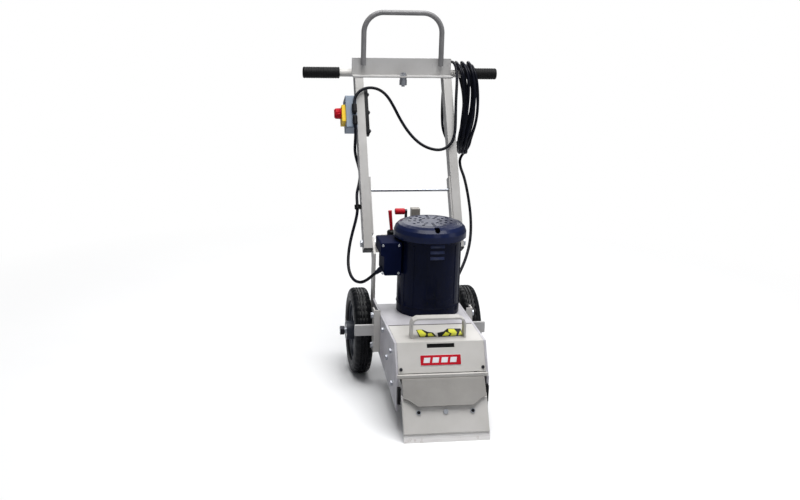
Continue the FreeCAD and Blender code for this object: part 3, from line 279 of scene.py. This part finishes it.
CHIP = srgb(112, 108, 104)
FINISHES = {
    "beige_paint": painted_steel("beige_paint", srgb(208, 205, 201), srgb(196, 193, 188), CHIP),
    "beige_frame": painted_steel("beige_frame", srgb(208, 206, 210), srgb(176, 173, 180), srgb(70, 68, 72),
                                 scuffs=0.75, foot=(0.05, 0.24, srgb(140, 134, 132))),
    # The front guard's beige is darker than the cover's: painted shade cast by the lip above it.
    "beige_guard_painted_shade": painted_steel("beige_guard_painted_shade", srgb(152, 149, 145), srgb(134, 131, 127), CHIP,
                                 roughness=0.5, scuffs=0.5),
    "beige_handle": painted_steel("beige_handle", srgb(176, 174, 172), srgb(162, 160, 157), CHIP),
    "beige_crossbar": painted_steel("beige_crossbar", srgb(192, 191, 190), srgb(178, 176, 174), CHIP),
    "grey_loop": painted_steel("grey_loop", srgb(128, 127, 128), srgb(112, 111, 112), CHIP, roughness=0.34),
    # This steel is near white: painted reflection of the light that the sloped blade catches. Its rust spots
    # are its own.
    "worn_steel": bare_metal("worn_steel", srgb(232, 228, 226), srgb(252, 250, 248), 0.42,
                             (1, 40, 40), (60, 0, 0), srgb(168, 150, 134), metallic=0.35),
    "zinc": bare_metal("zinc", srgb(150, 153, 160), srgb(205, 208, 214), 0.3, (30, 30, 4)),
    "dark_steel": bare_metal("dark_steel", srgb(34, 34, 38), srgb(70, 70, 76), 0.42, (20, 20, 4)),
    "navy_paint": enamel("navy_paint", srgb(6, 11, 31), srgb(12, 19, 48), specular=0.07, coat=0.05),
    "navy_box": enamel("navy_box", srgb(9, 14, 36), srgb(16, 23, 54), 0.5, 0.02, 0.0),
    "navy_cover": enamel("navy_cover", srgb(11, 18, 46), srgb(22, 32, 68), 0.24, 0.16, 0.14),
    # A lighter navy than the motor's paint: painted highlight on the louvres' lips.
    "navy_louvre_painted_highlight": enamel("navy_louvre_painted_highlight", srgb(26, 36, 70), srgb(46, 58, 98), 0.3, 0.3, 0.2),
    "navy_plastic": moulded("navy_plastic", srgb(12, 16, 34), srgb(24, 30, 52), 0.3),
    "bearing_steel": bare_metal("bearing_steel", srgb(170, 170, 172), srgb(220, 220, 222), 0.2, (20, 20, 20)),
    "laminations": laminated("laminations"),
    "aluminium": bare_metal("aluminium", srgb(178, 180, 184), srgb(226, 228, 231), 0.3, (18, 18, 18)),
    "tyre_rubber": moulded("tyre_rubber", srgb(10, 11, 13), srgb(15, 17, 22), 0.36, 420, 0.3,
                           srgb(26, 27, 32), specular=0.2),
    "rim_paint": painted_steel("rim_paint", srgb(62, 67, 78), srgb(48, 52, 62), srgb(96, 100, 108),
                               roughness=0.42),
    "black_rubber": moulded("black_rubber", srgb(16, 16, 17), srgb(30, 30, 31), 0.5, 600, 0.3),
    "black_plastic": moulded("black_plastic", srgb(17, 17, 19), srgb(32, 32, 35), 0.42),
    "grey_paint": painted_steel("grey_paint", srgb(158, 152, 142), srgb(128, 123, 116), srgb(82, 78, 72)),
    "box_grey": painted_steel("box_grey", srgb(122, 136, 154), srgb(104, 118, 136), srgb(76, 84, 94),
                              roughness=0.36),
    "yellow_plastic": moulded("yellow_plastic", srgb(226, 184, 34), srgb(240, 204, 62), 0.32),
    "red_plastic": moulded("red_plastic", srgb(176, 18, 34), srgb(208, 30, 48), 0.3),
    "cord_rubber": moulded("cord_rubber", srgb(8, 9, 16), srgb(17, 19, 30), 0.34, 260, 0.25),
    "label_yellow": moulded("label_yellow", srgb(206, 208, 52), srgb(222, 222, 84), 0.35),
    "badge_white": moulded("badge_white", srgb(222, 222, 226), srgb(240, 240, 243), 0.3),
}
OTHER_FINISH = {
    "side_plates": "beige_frame",
    "rear_deck": "beige_frame",
    "front_guard": "beige_guard_painted_shade",
    "fan_cover": "navy_cover",
    "junction_box": "navy_box",
    "handle_tubes": "beige_handle",
    "handle_straps": "beige_handle",
    "crossbar": "beige_crossbar",
    "side_bars": "beige_crossbar",
    "loop_handle": "grey_loop",
    "axle_nuts": "dark_steel",
}

# Faces that meet at more than these angles, in degrees, keep a sharp edge.
NODE_EDGE_ANGLE, PIECE_EDGE_ANGLE = 28, 32


def smooth_faces(thing, angle):
    """Shade a mesh object's faces smoothly, except across edges sharper than angle."""
    for face in thing.data.polygons:
        face.use_smooth = True
    split = thing.modifiers.new("smooth", "EDGE_SPLIT")
    split.split_angle = math.radians(angle)


for name, node in NODES.items():
    slot = next(part["material_slot"] for part in frame["record"]["subparts"] if part["node"] == name)
    node.data.materials.clear()
    node.data.materials.append(FINISHES[OTHER_FINISH.get(name, slot)])
    smooth_faces(node, NODE_EDGE_ANGLE)


# ---- mesh helpers -------------------------------------------------------------------------------------


def add_piece(name, mesh, body, slot, finish=None, covers=()):
    """Put a mesh in the scene, on its body, in its slot, in place of the CAD nodes it covers."""
    data = bpy.data.meshes.new(name)
    mesh.normal_update()
    mesh.to_mesh(data)
    mesh.free()
    piece = bpy.data.objects.new(name, data)
    bpy.context.scene.collection.objects.link(piece)
    data.materials.append(FINISHES[finish or slot])
    smooth_faces(piece, PIECE_EDGE_ANGLE)
    if covers:
        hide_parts(*covers)
    if body:
        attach(piece, body)
    return piece


def ring_faces(mesh, rings, closed):
    """Join rows of vertices into a skin; closed joins the last row to the first."""
    rows = len(rings)
    for k in range(rows if closed else rows - 1):
        here, there = rings[k], rings[(k + 1) % rows]
        count = len(here)
        for i in range(count):
            mesh.faces.new((here[i], here[(i + 1) % count], there[(i + 1) % count], there[i]))


def turned(mesh, profile, steps, spot, axis, relief=None):
    """Turn a closed profile of radius and distance along axis; relief changes the radius per step."""
    axis = Vector(axis).normalized()
    side = axis.orthogonal().normalized()
    other = axis.cross(side)
    rings = []
    for k in range(steps):
        angle = 2 * math.pi * k / steps
        out = side * math.cos(angle) + other * math.sin(angle)
        ring = []
        for i, (radius, along) in enumerate(profile):
            if relief:
                radius += relief(k, i)
            ring.append(mesh.verts.new(Vector(spot) + out * radius + axis * along))
        rings.append(ring)
    ring_faces(mesh, rings, True)
    bmesh.ops.remove_doubles(mesh, verts=mesh.verts, dist=1e-7)
    bmesh.ops.recalc_face_normals(mesh, faces=mesh.faces)


def in_metres(pairs):
    return [(first * MM, second * MM) for first, second in pairs]


def prism(mesh, corners, depth):
    """Give a flat outline of points a thickness along the vector depth."""
    depth = Vector(depth)
    low = [mesh.verts.new(Vector(point)) for point in corners]
    high = [mesh.verts.new(Vector(point) + depth) for point in corners]
    count = len(corners)
    faces = [mesh.faces.new(low), mesh.faces.new(high)]
    for i in range(count):
        faces.append(mesh.faces.new((low[i], low[(i + 1) % count], high[(i + 1) % count], high[i])))
    bmesh.ops.recalc_face_normals(mesh, faces=faces)


CORNER_STEPS = 5


def rounded(width, height, radius):
    """Return a rounded rectangle's outline about the origin, as pairs."""
    outline = []
    for corner, (u, v) in enumerate(((1, 1), (-1, 1), (-1, -1), (1, -1))):
        for k in range(CORNER_STEPS + 1):
            angle = math.pi / 2 * (corner + k / CORNER_STEPS)
            outline.append((u * (width / 2 - radius) + radius * math.cos(angle),
                            v * (height / 2 - radius) + radius * math.sin(angle)))
    return outline


TUBE_SIDES = 12


def tube(mesh, path, radius):
    """Sweep a round section along path without twisting it."""
    path = [Vector(point) for point in path]
    count = len(path)
    heading = (path[1] - path[0]).normalized()
    side = heading.orthogonal().normalized()
    rings = []
    for k in range(count):
        ahead = path[min(k + 1, count - 1)] - path[max(k - 1, 0)]
        turn = heading.rotation_difference(ahead.normalized())
        heading = ahead.normalized()
        side = (turn @ side).normalized()
        other = heading.cross(side)
        ring = []
        for i in range(TUBE_SIDES):
            angle = 2 * math.pi * i / TUBE_SIDES
            ring.append(mesh.verts.new(path[k] + (side * math.cos(angle) + other * math.sin(angle)) * radius))
        rings.append(ring)
    ring_faces(mesh, rings, False)
    mesh.faces.new(rings[0])
    mesh.faces.new(rings[-1])
    bmesh.ops.recalc_face_normals(mesh, faces=mesh.faces)


# ---- camera, light and floor --------------------------------------------------------------------------


def aim(spot, yaw, pitch, roll):
    """Return a camera's matrix: yaw to the right of +Y, pitch down, roll clockwise, in degrees."""
    yaw, pitch, roll = (math.radians(angle) for angle in (yaw, pitch, roll))
    forward = Vector((math.sin(yaw) * math.cos(pitch), math.cos(yaw) * math.cos(pitch), -math.sin(pitch)))
    right = Vector((math.cos(yaw), -math.sin(yaw), 0))
    up = right.cross(forward)
    across = right * math.cos(roll) + up * math.sin(roll)
    above = up * math.cos(roll) - right * math.sin(roll)
    matrix = Matrix.Identity(4)
    for column, axis in enumerate((across, above, -forward, Vector(spot))):
        for row in range(3):
            matrix[row][column] = axis[row]
    return matrix


CAMERA_SPOT = (-0.6478, -3.2584, 1.2989)
YAW, PITCH, ROLL = 10.2, 15.2, 1.7
LENS, SENSOR = 54, 36

lens = bpy.data.cameras.new("camera")
lens.lens = LENS
lens.sensor_width = SENSOR
camera = bpy.data.objects.new("camera", lens)
camera.matrix_world = aim(CAMERA_SPOT, YAW, PITCH, ROLL)
bpy.context.scene.collection.objects.link(camera)
bpy.context.scene.camera = camera
bpy.context.scene.view_settings.view_transform = "Standard"


def add_light(name, spot, target, size, power):
    data = bpy.data.lights.new(name, "AREA")
    data.shape = "SQUARE"
    data.size = size
    data.energy = power
    light = bpy.data.objects.new(name, data)
    light.location = spot
    light.rotation_euler = (Vector(target) - Vector(spot)).to_track_quat("-Z", "Y").to_euler()
    bpy.context.scene.collection.objects.link(light)


MIDDLE = (0, 0, 0.45)
add_light("overhead", (0.2, -0.3, 3.4), (0, 0, 0), size=2.6, power=138)
add_light("front", (0.8, -3.2, 1.6), MIDDLE, size=1.2, power=5)
add_light("right", (2.6, -1.2, 1.6), MIDDLE, size=1.2, power=6)
add_light("rear", (0.6, 3.0, 2.2), MIDDLE, size=2.0, power=30)

# The camera sees a white backdrop, while the machine is lit by a much fainter sky.
world = bpy.data.worlds.new("studio")
world.use_nodes = True
tree = world.node_tree
tree.nodes["Background"].inputs["Color"].default_value = (0.9, 0.94, 1, 1)
tree.nodes["Background"].inputs["Strength"].default_value = 0.16
backdrop = tree.nodes.new("ShaderNodeBackground")
backdrop.inputs["Color"].default_value = (1, 1, 1, 1)
seen = tree.nodes.new("ShaderNodeLightPath")
either = tree.nodes.new("ShaderNodeMixShader")
tree.links.new(seen.outputs["Is Camera Ray"], either.inputs["Fac"])
tree.links.new(tree.nodes["Background"].outputs[0], either.inputs[1])
tree.links.new(backdrop.outputs[0], either.inputs[2])
tree.links.new(either.outputs[0], tree.nodes["World Output"].inputs["Surface"])
bpy.context.scene.world = world


def floor_finish():
    """A pale floor that the camera sees turn into the white backdrop; what it bounces is darker."""
    finish = Finish("floor", 0.75, specular=0.2)
    seen = finish.add("ShaderNodeLightPath").outputs["Is Camera Ray"]
    pale = finish.ramp(finish.noise(2.5, 3), (0.3, srgb(247, 247, 248)), (0.7, srgb(251, 251, 251)))
    finish.colour(finish.mix(seen, srgb(196, 197, 200), pale))
    length = finish.add("ShaderNodeVectorMath")
    length.operation = "LENGTH"
    finish.feed(length.inputs[0], finish.place)
    far = finish.ramp(finish.math("DIVIDE", length.outputs["Value"], 4.0), (0.14, 0.0), (0.5, 1.0))
    glow = finish.add("ShaderNodeEmission")
    either = finish.add("ShaderNodeMixShader")
    finish.feed(either.inputs["Fac"], finish.math("MULTIPLY", far, seen))
    finish.tree.links.new(finish.shader.outputs[0], either.inputs[1])
    finish.tree.links.new(glow.outputs[0], either.inputs[2])
    finish.tree.links.new(either.outputs[0], finish.tree.nodes["Material Output"].inputs["Surface"])
    return finish.done()


floor_data = bpy.data.meshes.new("floor")
floor_data.from_pydata([(-30, -30, 0), (30, -30, 0), (30, 30, 0), (-30, 30, 0)], [], [(0, 1, 2, 3)])
floor_data.materials.append(floor_finish())
floor = bpy.data.objects.new("floor", floor_data)
bpy.context.scene.collection.objects.link(floor)


# ---- cords --------------------------------------------------------------------------------------------

CORD_DIAMETER = 0.009
EXIT_TO_COIL = [
    (-158, 310.5, 763.9), (-158, 320.9, 781.8), (-150, 330, 798), (-135.5, 337, 810.5), (-116, 341, 817),
    (-95.5, 340, 817), (-75.5, 337, 810.5), (-56, 329, 795), (-38, 318, 766), (-18, 304, 726), (4, 290, 692),
    (27, 275, 667), (49, 263, 652), (72, 254, 644), (97, 249, 641.5), (121, 249, 651), (138, 256, 669.5),
    (147, 271, 697), (151, 292, 735), (155, 315, 778), (160, 335, 814), (164, 352, 844), (166, 372, 870),
    (165, 397, 885), (162, 425, 890), (158, 451, 881), (155, 471, 861), (152, 482, 834), (150, 485, 802),
    (149, 485.5, 768), (149, 485, 733), (150, 484.5, 700), (152, 482, 674), (157, 474, 653),
    (163, 460, 637.5), (170, 440, 629), (177, 418, 629), (184, 398, 637), (190, 382, 653),
    (194, 372, 676), (197, 368, 708), (197, 368, 742),
]
COIL_TO_PLUG = [
    (207, 378, 529), (215, 342, 470), (217, 304, 408), (208, 264, 352), (187, 226, 306),
    (161, 191, 271), (137, 162, 245), (119, 144, 227), (101, 131, 216), (82, 120, 211),
]
MOTOR_ROUTE = [
    (-158, 286.5, 722.3), (-158, 277, 705.8), (-158, 273.6, 685.9), (-158, 278, 665.5), (-157.5, 286.9, 647),
    (-156, 293.9, 628), (-151.5, 293.1, 607.7), (-145, 284.5, 584.9), (-142, 271.3, 566),
    (-145, 258.6, 547.9), (-150.5, 244.6, 531.7), (-156.5, 227.1, 520.4), (-160, 207.9, 510.2),
    (-161.1, 190, 495.1), (-161.1, 177, 472.6), (-168, 164, 446), (-179, 150, 414), (-189, 132, 382),
    (-196, 109, 351), (-198, 84, 323), (-192, 60, 303), (-181, 39, 296), (-167, 19, 299),
    (-153, 4, 312), (-137.8, -10.9, 330.9), (-124.6, -20.8, 345.4),
]

GRIP_Y = 422.5
LOW, MIDDLE_HEIGHT = 692, 772
# A turn's ends follow half a regular octagon; these place its corners, per unit of half its width.
BEND, CROWN = 0.586, 0.414
# One row per turn that hangs over the grip: half its depth, its top and bottom, and then its X at the
# front's foot, low, middle and high, over the grip, at the rear's high, middle, low and foot, and below.
TURNS = [
    (58, 887, 602, 186, 190, 196, 185, 174, 196, 219, 217, 206, 195),
    (48, 878, 611, 184, 189, 195, 194, 184, 207, 222, 219, 210, 199),
    (58, 887, 602, 187, 198, 206, 204, 193, 214, 230, 231, 217, 205),
    (48, 878, 611, 194, 209, 221, 215, 204, 226, 250, 246, 228, 209),
    (58, 887, 602, 198, 214, 228, 219, 213, 235, 253, 252, 234, 215),
    (48, 878, 611, 206, 235, 240, 231, 223, 242, 263, 260, 244, 220),
]


def turn_points(number):
    """Return one turn's points: up the front, over the grip, down the rear and along the bottom."""
    half, top, bottom, *places = TURNS[number]
    foot, low, middle, high, over, rear_high, rear_middle, rear_low, rear_foot, below = places
    near, far = GRIP_Y - half, GRIP_Y + half
    bend, crown = BEND * half, CROWN * half
    return [
        (foot, near, bottom + bend), (low, near, LOW), (middle, near, MIDDLE_HEIGHT),
        (high, near, top - bend), (over, GRIP_Y - crown, top), (over + 2, GRIP_Y + crown, top),
        (rear_high, far, top - bend), (rear_middle, far, MIDDLE_HEIGHT), (rear_low, far, LOW),
        (rear_foot, far, bottom + bend), (below + 2, GRIP_Y + crown, bottom), (below, GRIP_Y - crown, bottom),
    ]


def smooth_line(name, points):
    """Return the points of the smooth curve that points in millimetres steer, in metres."""
    curve = bpy.data.curves.new(name, "CURVE")
    curve.dimensions = "3D"
    curve.resolution_u = 10
    spline = curve.splines.new("NURBS")
    spline.points.add(len(points) - 1)
    for point, (x, y, z) in zip(spline.points, points):
        point.co = (x * MM, y * MM, z * MM, 1)
    spline.order_u = 3
    spline.use_endpoint_u = True
    holder = bpy.data.objects.new(name, curve)
    line = bpy.data.meshes.new_from_object(holder)
    path = [vertex.co.copy() for vertex in line.vertices]
    bpy.data.objects.remove(holder)
    bpy.data.meshes.remove(line)
    return path


def add_cord(name, route, covers):
    path = smooth_line(name + "_line", route)
    mesh = bmesh.new()
    tube(mesh, path, CORD_DIAMETER / 2)
    return add_piece(name, mesh, None, "cord_rubber", covers=covers), path


# The first turn is met near its top, and the last one leaves for the plug before its bottom.
FIRST_POINT_MET = 3
LAST_POINTS_DROPPED = 2
COIL_END = [(237, 462, 615), (221, 453, 597), (207, 440, 586), (199, 423, 574), (199, 404, 555)]

coil = [point for number in range(len(TURNS)) for point in turn_points(number)]
coil = coil[FIRST_POINT_MET:-LAST_POINTS_DROPPED] + COIL_END
power_cord, power_path = add_cord(
    "power_cord", EXIT_TO_COIL + coil + COIL_TO_PLUG,
    ("power_cord_drape", "power_cord_coil", "power_cord_tail"))
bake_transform(power_cord)

motor_cord, motor_path = add_cord("motor_lead", MOTOR_ROUTE, ("motor_cord",))
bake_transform(motor_cord)


# ---- wheels -------------------------------------------------------------------------------------------

AXLE = Vector((0, 0.101, 0.127))
TYRE_INNER, TYRE_WIDTH = 0.134, 54
TYRE_STEPS, STEPS_PER_LUG = 144, 4
SHOULDER_LOW, SHOULDER_HIGH, LUG_DEPTH = 0.12, 0.1269, 0.0022


def tyre_profile():
    """Return the tyre's section, in millimetres: beads, ribbed walls, shoulders and tread grooves."""
    wall = [(88, 6), (90.5, 2.4), (95, 0.6), (99, 0.1), (101, 1.5), (103, 0.1), (111, 0.2), (112.4, 1.4),
            (117, 1.8), (121, 3.6), (124, 6.6), (125.8, 10), (126.6, 13.6)]
    grooves = []
    for middle in (18, 27, 36):
        grooves += [(127, middle - 2.6), (124, middle - 1.7), (124, middle + 1.7), (127, middle + 2.6)]
    return wall + grooves + [(radius, TYRE_WIDTH - along) for radius, along in reversed(wall)]


def add_tyre(side, name):
    profile = in_metres(tyre_profile())
    shoulder = [i for i, (radius, _) in enumerate(profile) if SHOULDER_LOW < radius < SHOULDER_HIGH]

    def lugs(step, point):
        return -LUG_DEPTH if step % STEPS_PER_LUG == 0 and point in shoulder else 0

    mesh = bmesh.new()
    turned(mesh, profile, TYRE_STEPS, AXLE + Vector((side * TYRE_INNER, 0, 0)), (side, 0, 0), lugs)
    add_piece(name + "_tyre_treaded", mesh, name + "_wheel", "tyre_rubber", covers=(name + "_tyre",))


add_tyre(-1, "left")
add_tyre(1, "right")

AXLE_END = [(0, -0.4), (6.5, -0.4), (6.5, 0.3), (5.6, 0.9), (0, 0.9)]
AXLE_REACH = 0.217
mesh = bmesh.new()
for side in (-1, 1):
    turned(mesh, in_metres(AXLE_END), 24, AXLE + Vector((side * AXLE_REACH, 0, 0)), (side, 0, 0))
add_piece("axle_ends", mesh, "frame", "zinc")


# ---- handle pieces ------------------------------------------------------------------------------------


def on_handle(x, y, z):
    """Return a point given in the handle's own frame, in millimetres, in the row frame."""
    lean = math.radians(30)
    return Vector((x, 127 + y * math.cos(lean) + z * math.sin(lean),
                   386 - y * math.sin(lean) + z * math.cos(lean))) * MM


ALONG_HANDLE = (on_handle(0, 0, 1000) - on_handle(0, 0, 0)).normalized()


def grip_profile():
    """Return the grip's section from its inner end: a collar, fine rings and a rounded end."""
    rings = []
    for ring in range(13):
        start = 8 + ring * 7.3
        rings += [(16.8, start), (17.4, start + 0.8), (17.4, start + 5), (16.8, start + 5.8)]
    return [(12.1, 0), (16.6, 0), (17.5, 1.2), (17.5, 4.4), (16.8, 5.4)] + rings + [
        (16.8, 104), (17.5, 105), (17.3, 109), (15.4, 111.4), (12.5, 112), (0, 112), (0, 108), (12.1, 108)]


GRIP_X, GRIP_Z = 0.192, 0.852
mesh = bmesh.new()
for side in (-1, 1):
    turned(mesh, in_metres(grip_profile()), 40, (side * GRIP_X, GRIP_Y * MM, GRIP_Z), (side, 0, 0))
add_piece("ringed_grips", mesh, "handle", "black_rubber", covers=("handle_grips",))

KNOB_HEIGHT, KNOB_OFFSET = 411, 7
KNOB_FOOT_X, BAR_FOOT_X = -161.5, -212.4
KNOB_PROFILE = [(0, 0), (5.9, 0), (5.9, 33.6), (16.6, 33.6), (17, 34.4), (17, 37), (16.4, 38), (16, 49.6),
                (15, 51), (0, 51)]
FLUTED_POINTS, FLUTE_DEPTH = (6, 7), 0.0012
ACROSS_HANDLE = Vector((1, 0, 0)).cross(ALONG_HANDLE)


def flat_on_handle(centre, outline):
    """Return an outline of pairs, in metres, laid about centre in the plane that faces sideways."""
    return [centre + ALONG_HANDLE * u + ACROSS_HANDLE * v for u, v in outline]


def knob_flutes(step, point):
    return -FLUTE_DEPTH if step % 4 == 0 and point in FLUTED_POINTS else 0


mesh = bmesh.new()
knob_foot = on_handle(KNOB_FOOT_X, KNOB_OFFSET, KNOB_HEIGHT)
turned(mesh, in_metres(KNOB_PROFILE), 48, knob_foot, (-1, 0, 0), knob_flutes)
bar_foot = on_handle(BAR_FOOT_X, KNOB_OFFSET, KNOB_HEIGHT)
prism(mesh, flat_on_handle(bar_foot, rounded(0.027, 0.008, 0.003)), (-0.003, 0, 0))
add_piece("fluted_knob", mesh, "switch", "red_plastic", covers=("switch_knob",))

BACKING_X, BACKING_THICK = -124.4, 11.4
mesh = bmesh.new()
backing = flat_on_handle(on_handle(BACKING_X, 0, KNOB_HEIGHT), rounded(0.146, 0.03, 0.006))
prism(mesh, backing, (BACKING_THICK * MM, 0, 0))
add_piece("switch_backing", mesh, "handle", "black_plastic")

NUT_RADIUS, NUT_THICK = 0.0065, 0.004
NUT_OUTLINE = [(NUT_RADIUS * math.cos(angle), NUT_RADIUS * math.sin(angle))
               for angle in (k * math.pi / 3 for k in range(6))]
STUD_END = [(0, 4), (3.2, 4), (3.2, 5.5), (2.6, 6.2), (0, 6.2)]
mesh = bmesh.new()
for along in (352, 412, 470):
    foot = on_handle(BACKING_X + BACKING_THICK, 0, along)
    prism(mesh, flat_on_handle(foot, NUT_OUTLINE), (NUT_THICK, 0, 0))
    turned(mesh, in_metres(STUD_END), 16, foot, (1, 0, 0))
add_piece("switch_nuts", mesh, "handle", "dark_steel")


# ---- motor pieces -------------------------------------------------------------------------------------

MOTOR_AXIS = Vector((0.0188, -0.025, 0))


def arc_band(mesh, profile, start, end, steps=16):
    """Sweep a closed profile of radius and height round the motor, in degrees from its front."""
    rings = []
    for k in range(steps + 1):
        angle = math.radians(start + (end - start) * k / steps)
        out = Vector((math.sin(angle), -math.cos(angle), 0))
        rings.append([mesh.verts.new(MOTOR_AXIS + out * radius * MM + Vector((0, 0, height * MM)))
                      for radius, height in profile])
    ring_faces(mesh, rings, False)
    mesh.faces.new(rings[0])
    mesh.faces.new(rings[-1])
    bmesh.ops.recalc_face_normals(mesh, faces=mesh.faces)


# Profiles of radius about the motor's axis and height about a middle height.
LOUVRE = [(89.8, 5), (91.1, 5), (93.4, 1.5), (94.4, -2.5), (93.6, -3.2), (92.6, -2.2), (89.8, -2)]
BEAD = [(89.6, -2), (91.4, -1), (91.4, 1), (89.6, 2)]

# The louvres are the motor's navy paint, drawn lighter as a painted highlight.
mesh = bmesh.new()
for height in (404, 421, 438):
    arc_band(mesh, [(radius, height + rise) for radius, rise in LOUVRE], -9.5, 15.5)
add_piece("motor_louvres", mesh, "frame", "navy_paint", "navy_louvre_painted_highlight")

mesh = bmesh.new()
arc_band(mesh, [(89.6, 286), (90.6, 286.6), (91.0, 288), (91.0, 448), (89.6, 448)], -14, 19)
for angle in (-62, -40, 44, 66):
    arc_band(mesh, [(89.6, 262), (91.2, 264), (91.2, 434), (89.6, 436)], angle - 1.6, angle + 1.6, 4)
for height in (256, 443):
    arc_band(mesh, [(radius, height + rise) for radius, rise in BEAD], -180, 180, 96)
add_piece("motor_ribs", mesh, "frame", "navy_paint")

SCREW_HEAD = [(0, 0), (3.6, 0), (3.6, 1.6), (2.8, 2.4), (0.9, 2.6), (0.9, 1.2), (0, 1.2)]
mesh = bmesh.new()
for x in (-122, -77):
    for z in (352, 432):
        turned(mesh, in_metres(SCREW_HEAD), 18, (x * MM, -0.0709, z * MM), (0, -1, 0))
add_piece("junction_screws", mesh, "frame", "zinc")


# ---- front pieces -------------------------------------------------------------------------------------

CLAMP_SLOPE = math.radians(60)
CLAMP_OUT = Vector((0, -math.sin(CLAMP_SLOPE), math.cos(CLAMP_SLOPE)))
# Black discs on the two outer bolt heads: partly the heads' own dark colour, partly painted shade of their
# socket recesses.
SOCKET = [(0, -0.4), (5, -0.4), (5, 0.7), (0, 0.7)]
mesh = bmesh.new()
for side in (-1, 1):
    turned(mesh, in_metres(SOCKET), 6, (side * 0.0725, -0.40793, 0.07155), CLAMP_OUT)
add_piece("bolt_dark_tops_and_socket_shade", mesh, "head", "black_plastic")


def wide_strip(mesh, half, front, rear, depth):
    """Add a strip from -half to half in X, between two edges given as Y and Z."""
    corners = [(side * half, *edge) for side, edge in ((-1, front), (1, front), (1, rear), (-1, rear))]
    prism(mesh, corners, depth)


# Black strips laid as painted shade: one in the gap behind the cover, one behind the cover's slot.
mesh = bmesh.new()
wide_strip(mesh, 0.117, (-0.1664, 0.2289), (-0.163, 0.2289), (0, 0, 0.0006))
wide_strip(mesh, 0.041, (-0.3122, 0.2105), (-0.304, 0.2255), (0, 0.0006, -0.0003))
add_piece("cover_gap_and_slot_painted_shade", mesh, "frame", "black_rubber")


# ---- badge and labels on the cover --------------------------------------------------------------------

FACE_FOOT = Vector((0, -0.346, 0.156))
FACE_UP = Vector((0, 0.0400, 0.0730)).normalized()
FACE_OUT = Vector((0, -FACE_UP.z, FACE_UP.y))


def on_face(u, v, off):
    """Return a point on the cover's sloped face: u across, v up the slope, off out of it, in millimetres."""
    return FACE_FOOT + Vector((u * MM, 0, 0)) + FACE_UP * v * MM + FACE_OUT * off * MM


def face_plate(mesh, corners, low, high):
    prism(mesh, [on_face(u, v, low) for u, v in corners], FACE_OUT * (high - low) * MM)


BADGE_X, BADGE_V = -2.5, 34
BAR_HALF, BAR_LOW, BAR_HIGH, BAR_SLANT = 8.5, 27, 41, 3


def badge_layer(name, outline, low, high, finish=None):
    """Add a plate whose outline lies about the badge's middle."""
    mesh = bmesh.new()
    face_plate(mesh, [(u + BADGE_X, v + BADGE_V) for u, v in outline], low, high)
    add_piece(name, mesh, "frame", "red_plastic", finish)


badge_layer("badge_edge", rounded(111, 28.5, 2), -0.1, 0.9, "badge_white")
badge_layer("badge", rounded(109.4, 26.9, 1.6), 0.5, 1.3)

mesh = bmesh.new()
for middle in (-41.5, -17.5, 6.5, 30.5):
    left, right = middle - BAR_HALF, middle + BAR_HALF
    face_plate(mesh, [(left, BAR_LOW), (right, BAR_LOW), (right + BAR_SLANT, BAR_HIGH),
                      (left + BAR_SLANT, BAR_HIGH)], 1.2, 1.6)
add_piece("badge_bars", mesh, "frame", "red_plastic", "badge_white")

COVER_TOP = 229
LABEL_BACKS = (
    [(-49, -268), (-2, -266), (-6, -232), (-20, -226), (-30, -206), (-48, -208)],
    [(2, -268), (72, -266), (77, -206), (40, -204), (26, -226), (6, -236)],
)
LABEL_SHAPES = (
    [(-46, -264), (-34, -264), (-26, -244), (-29, -228), (-33, -209), (-46, -211)],
    [(-26, -264), (-8, -262), (-12, -238), (-22, -242)],
    [(14, -262), (30, -264), (38, -246), (30, -232)],
    [(36, -264), (52, -264), (60, -238), (58, -209), (42, -208), (38, -232), (44, -246)],
    [(58, -262), (70, -262), (73, -222), (66, -240)],
)


def label_layer(name, outlines, rise, thick, slot, finish=None):
    """Add flat shapes on the cover's top, from rise above it, in millimetres."""
    mesh = bmesh.new()
    for outline in outlines:
        corners = [(x * MM, y * MM, (COVER_TOP + rise) * MM) for x, y in outline]
        prism(mesh, corners, (0, 0, thick * MM))
    add_piece(name, mesh, "frame", slot, finish)


label_layer("label_backs", LABEL_BACKS, -0.1, 0.5, "black_plastic")
label_layer("label_shapes", LABEL_SHAPES, 0.3, 0.4, "yellow_plastic", "label_yellow")
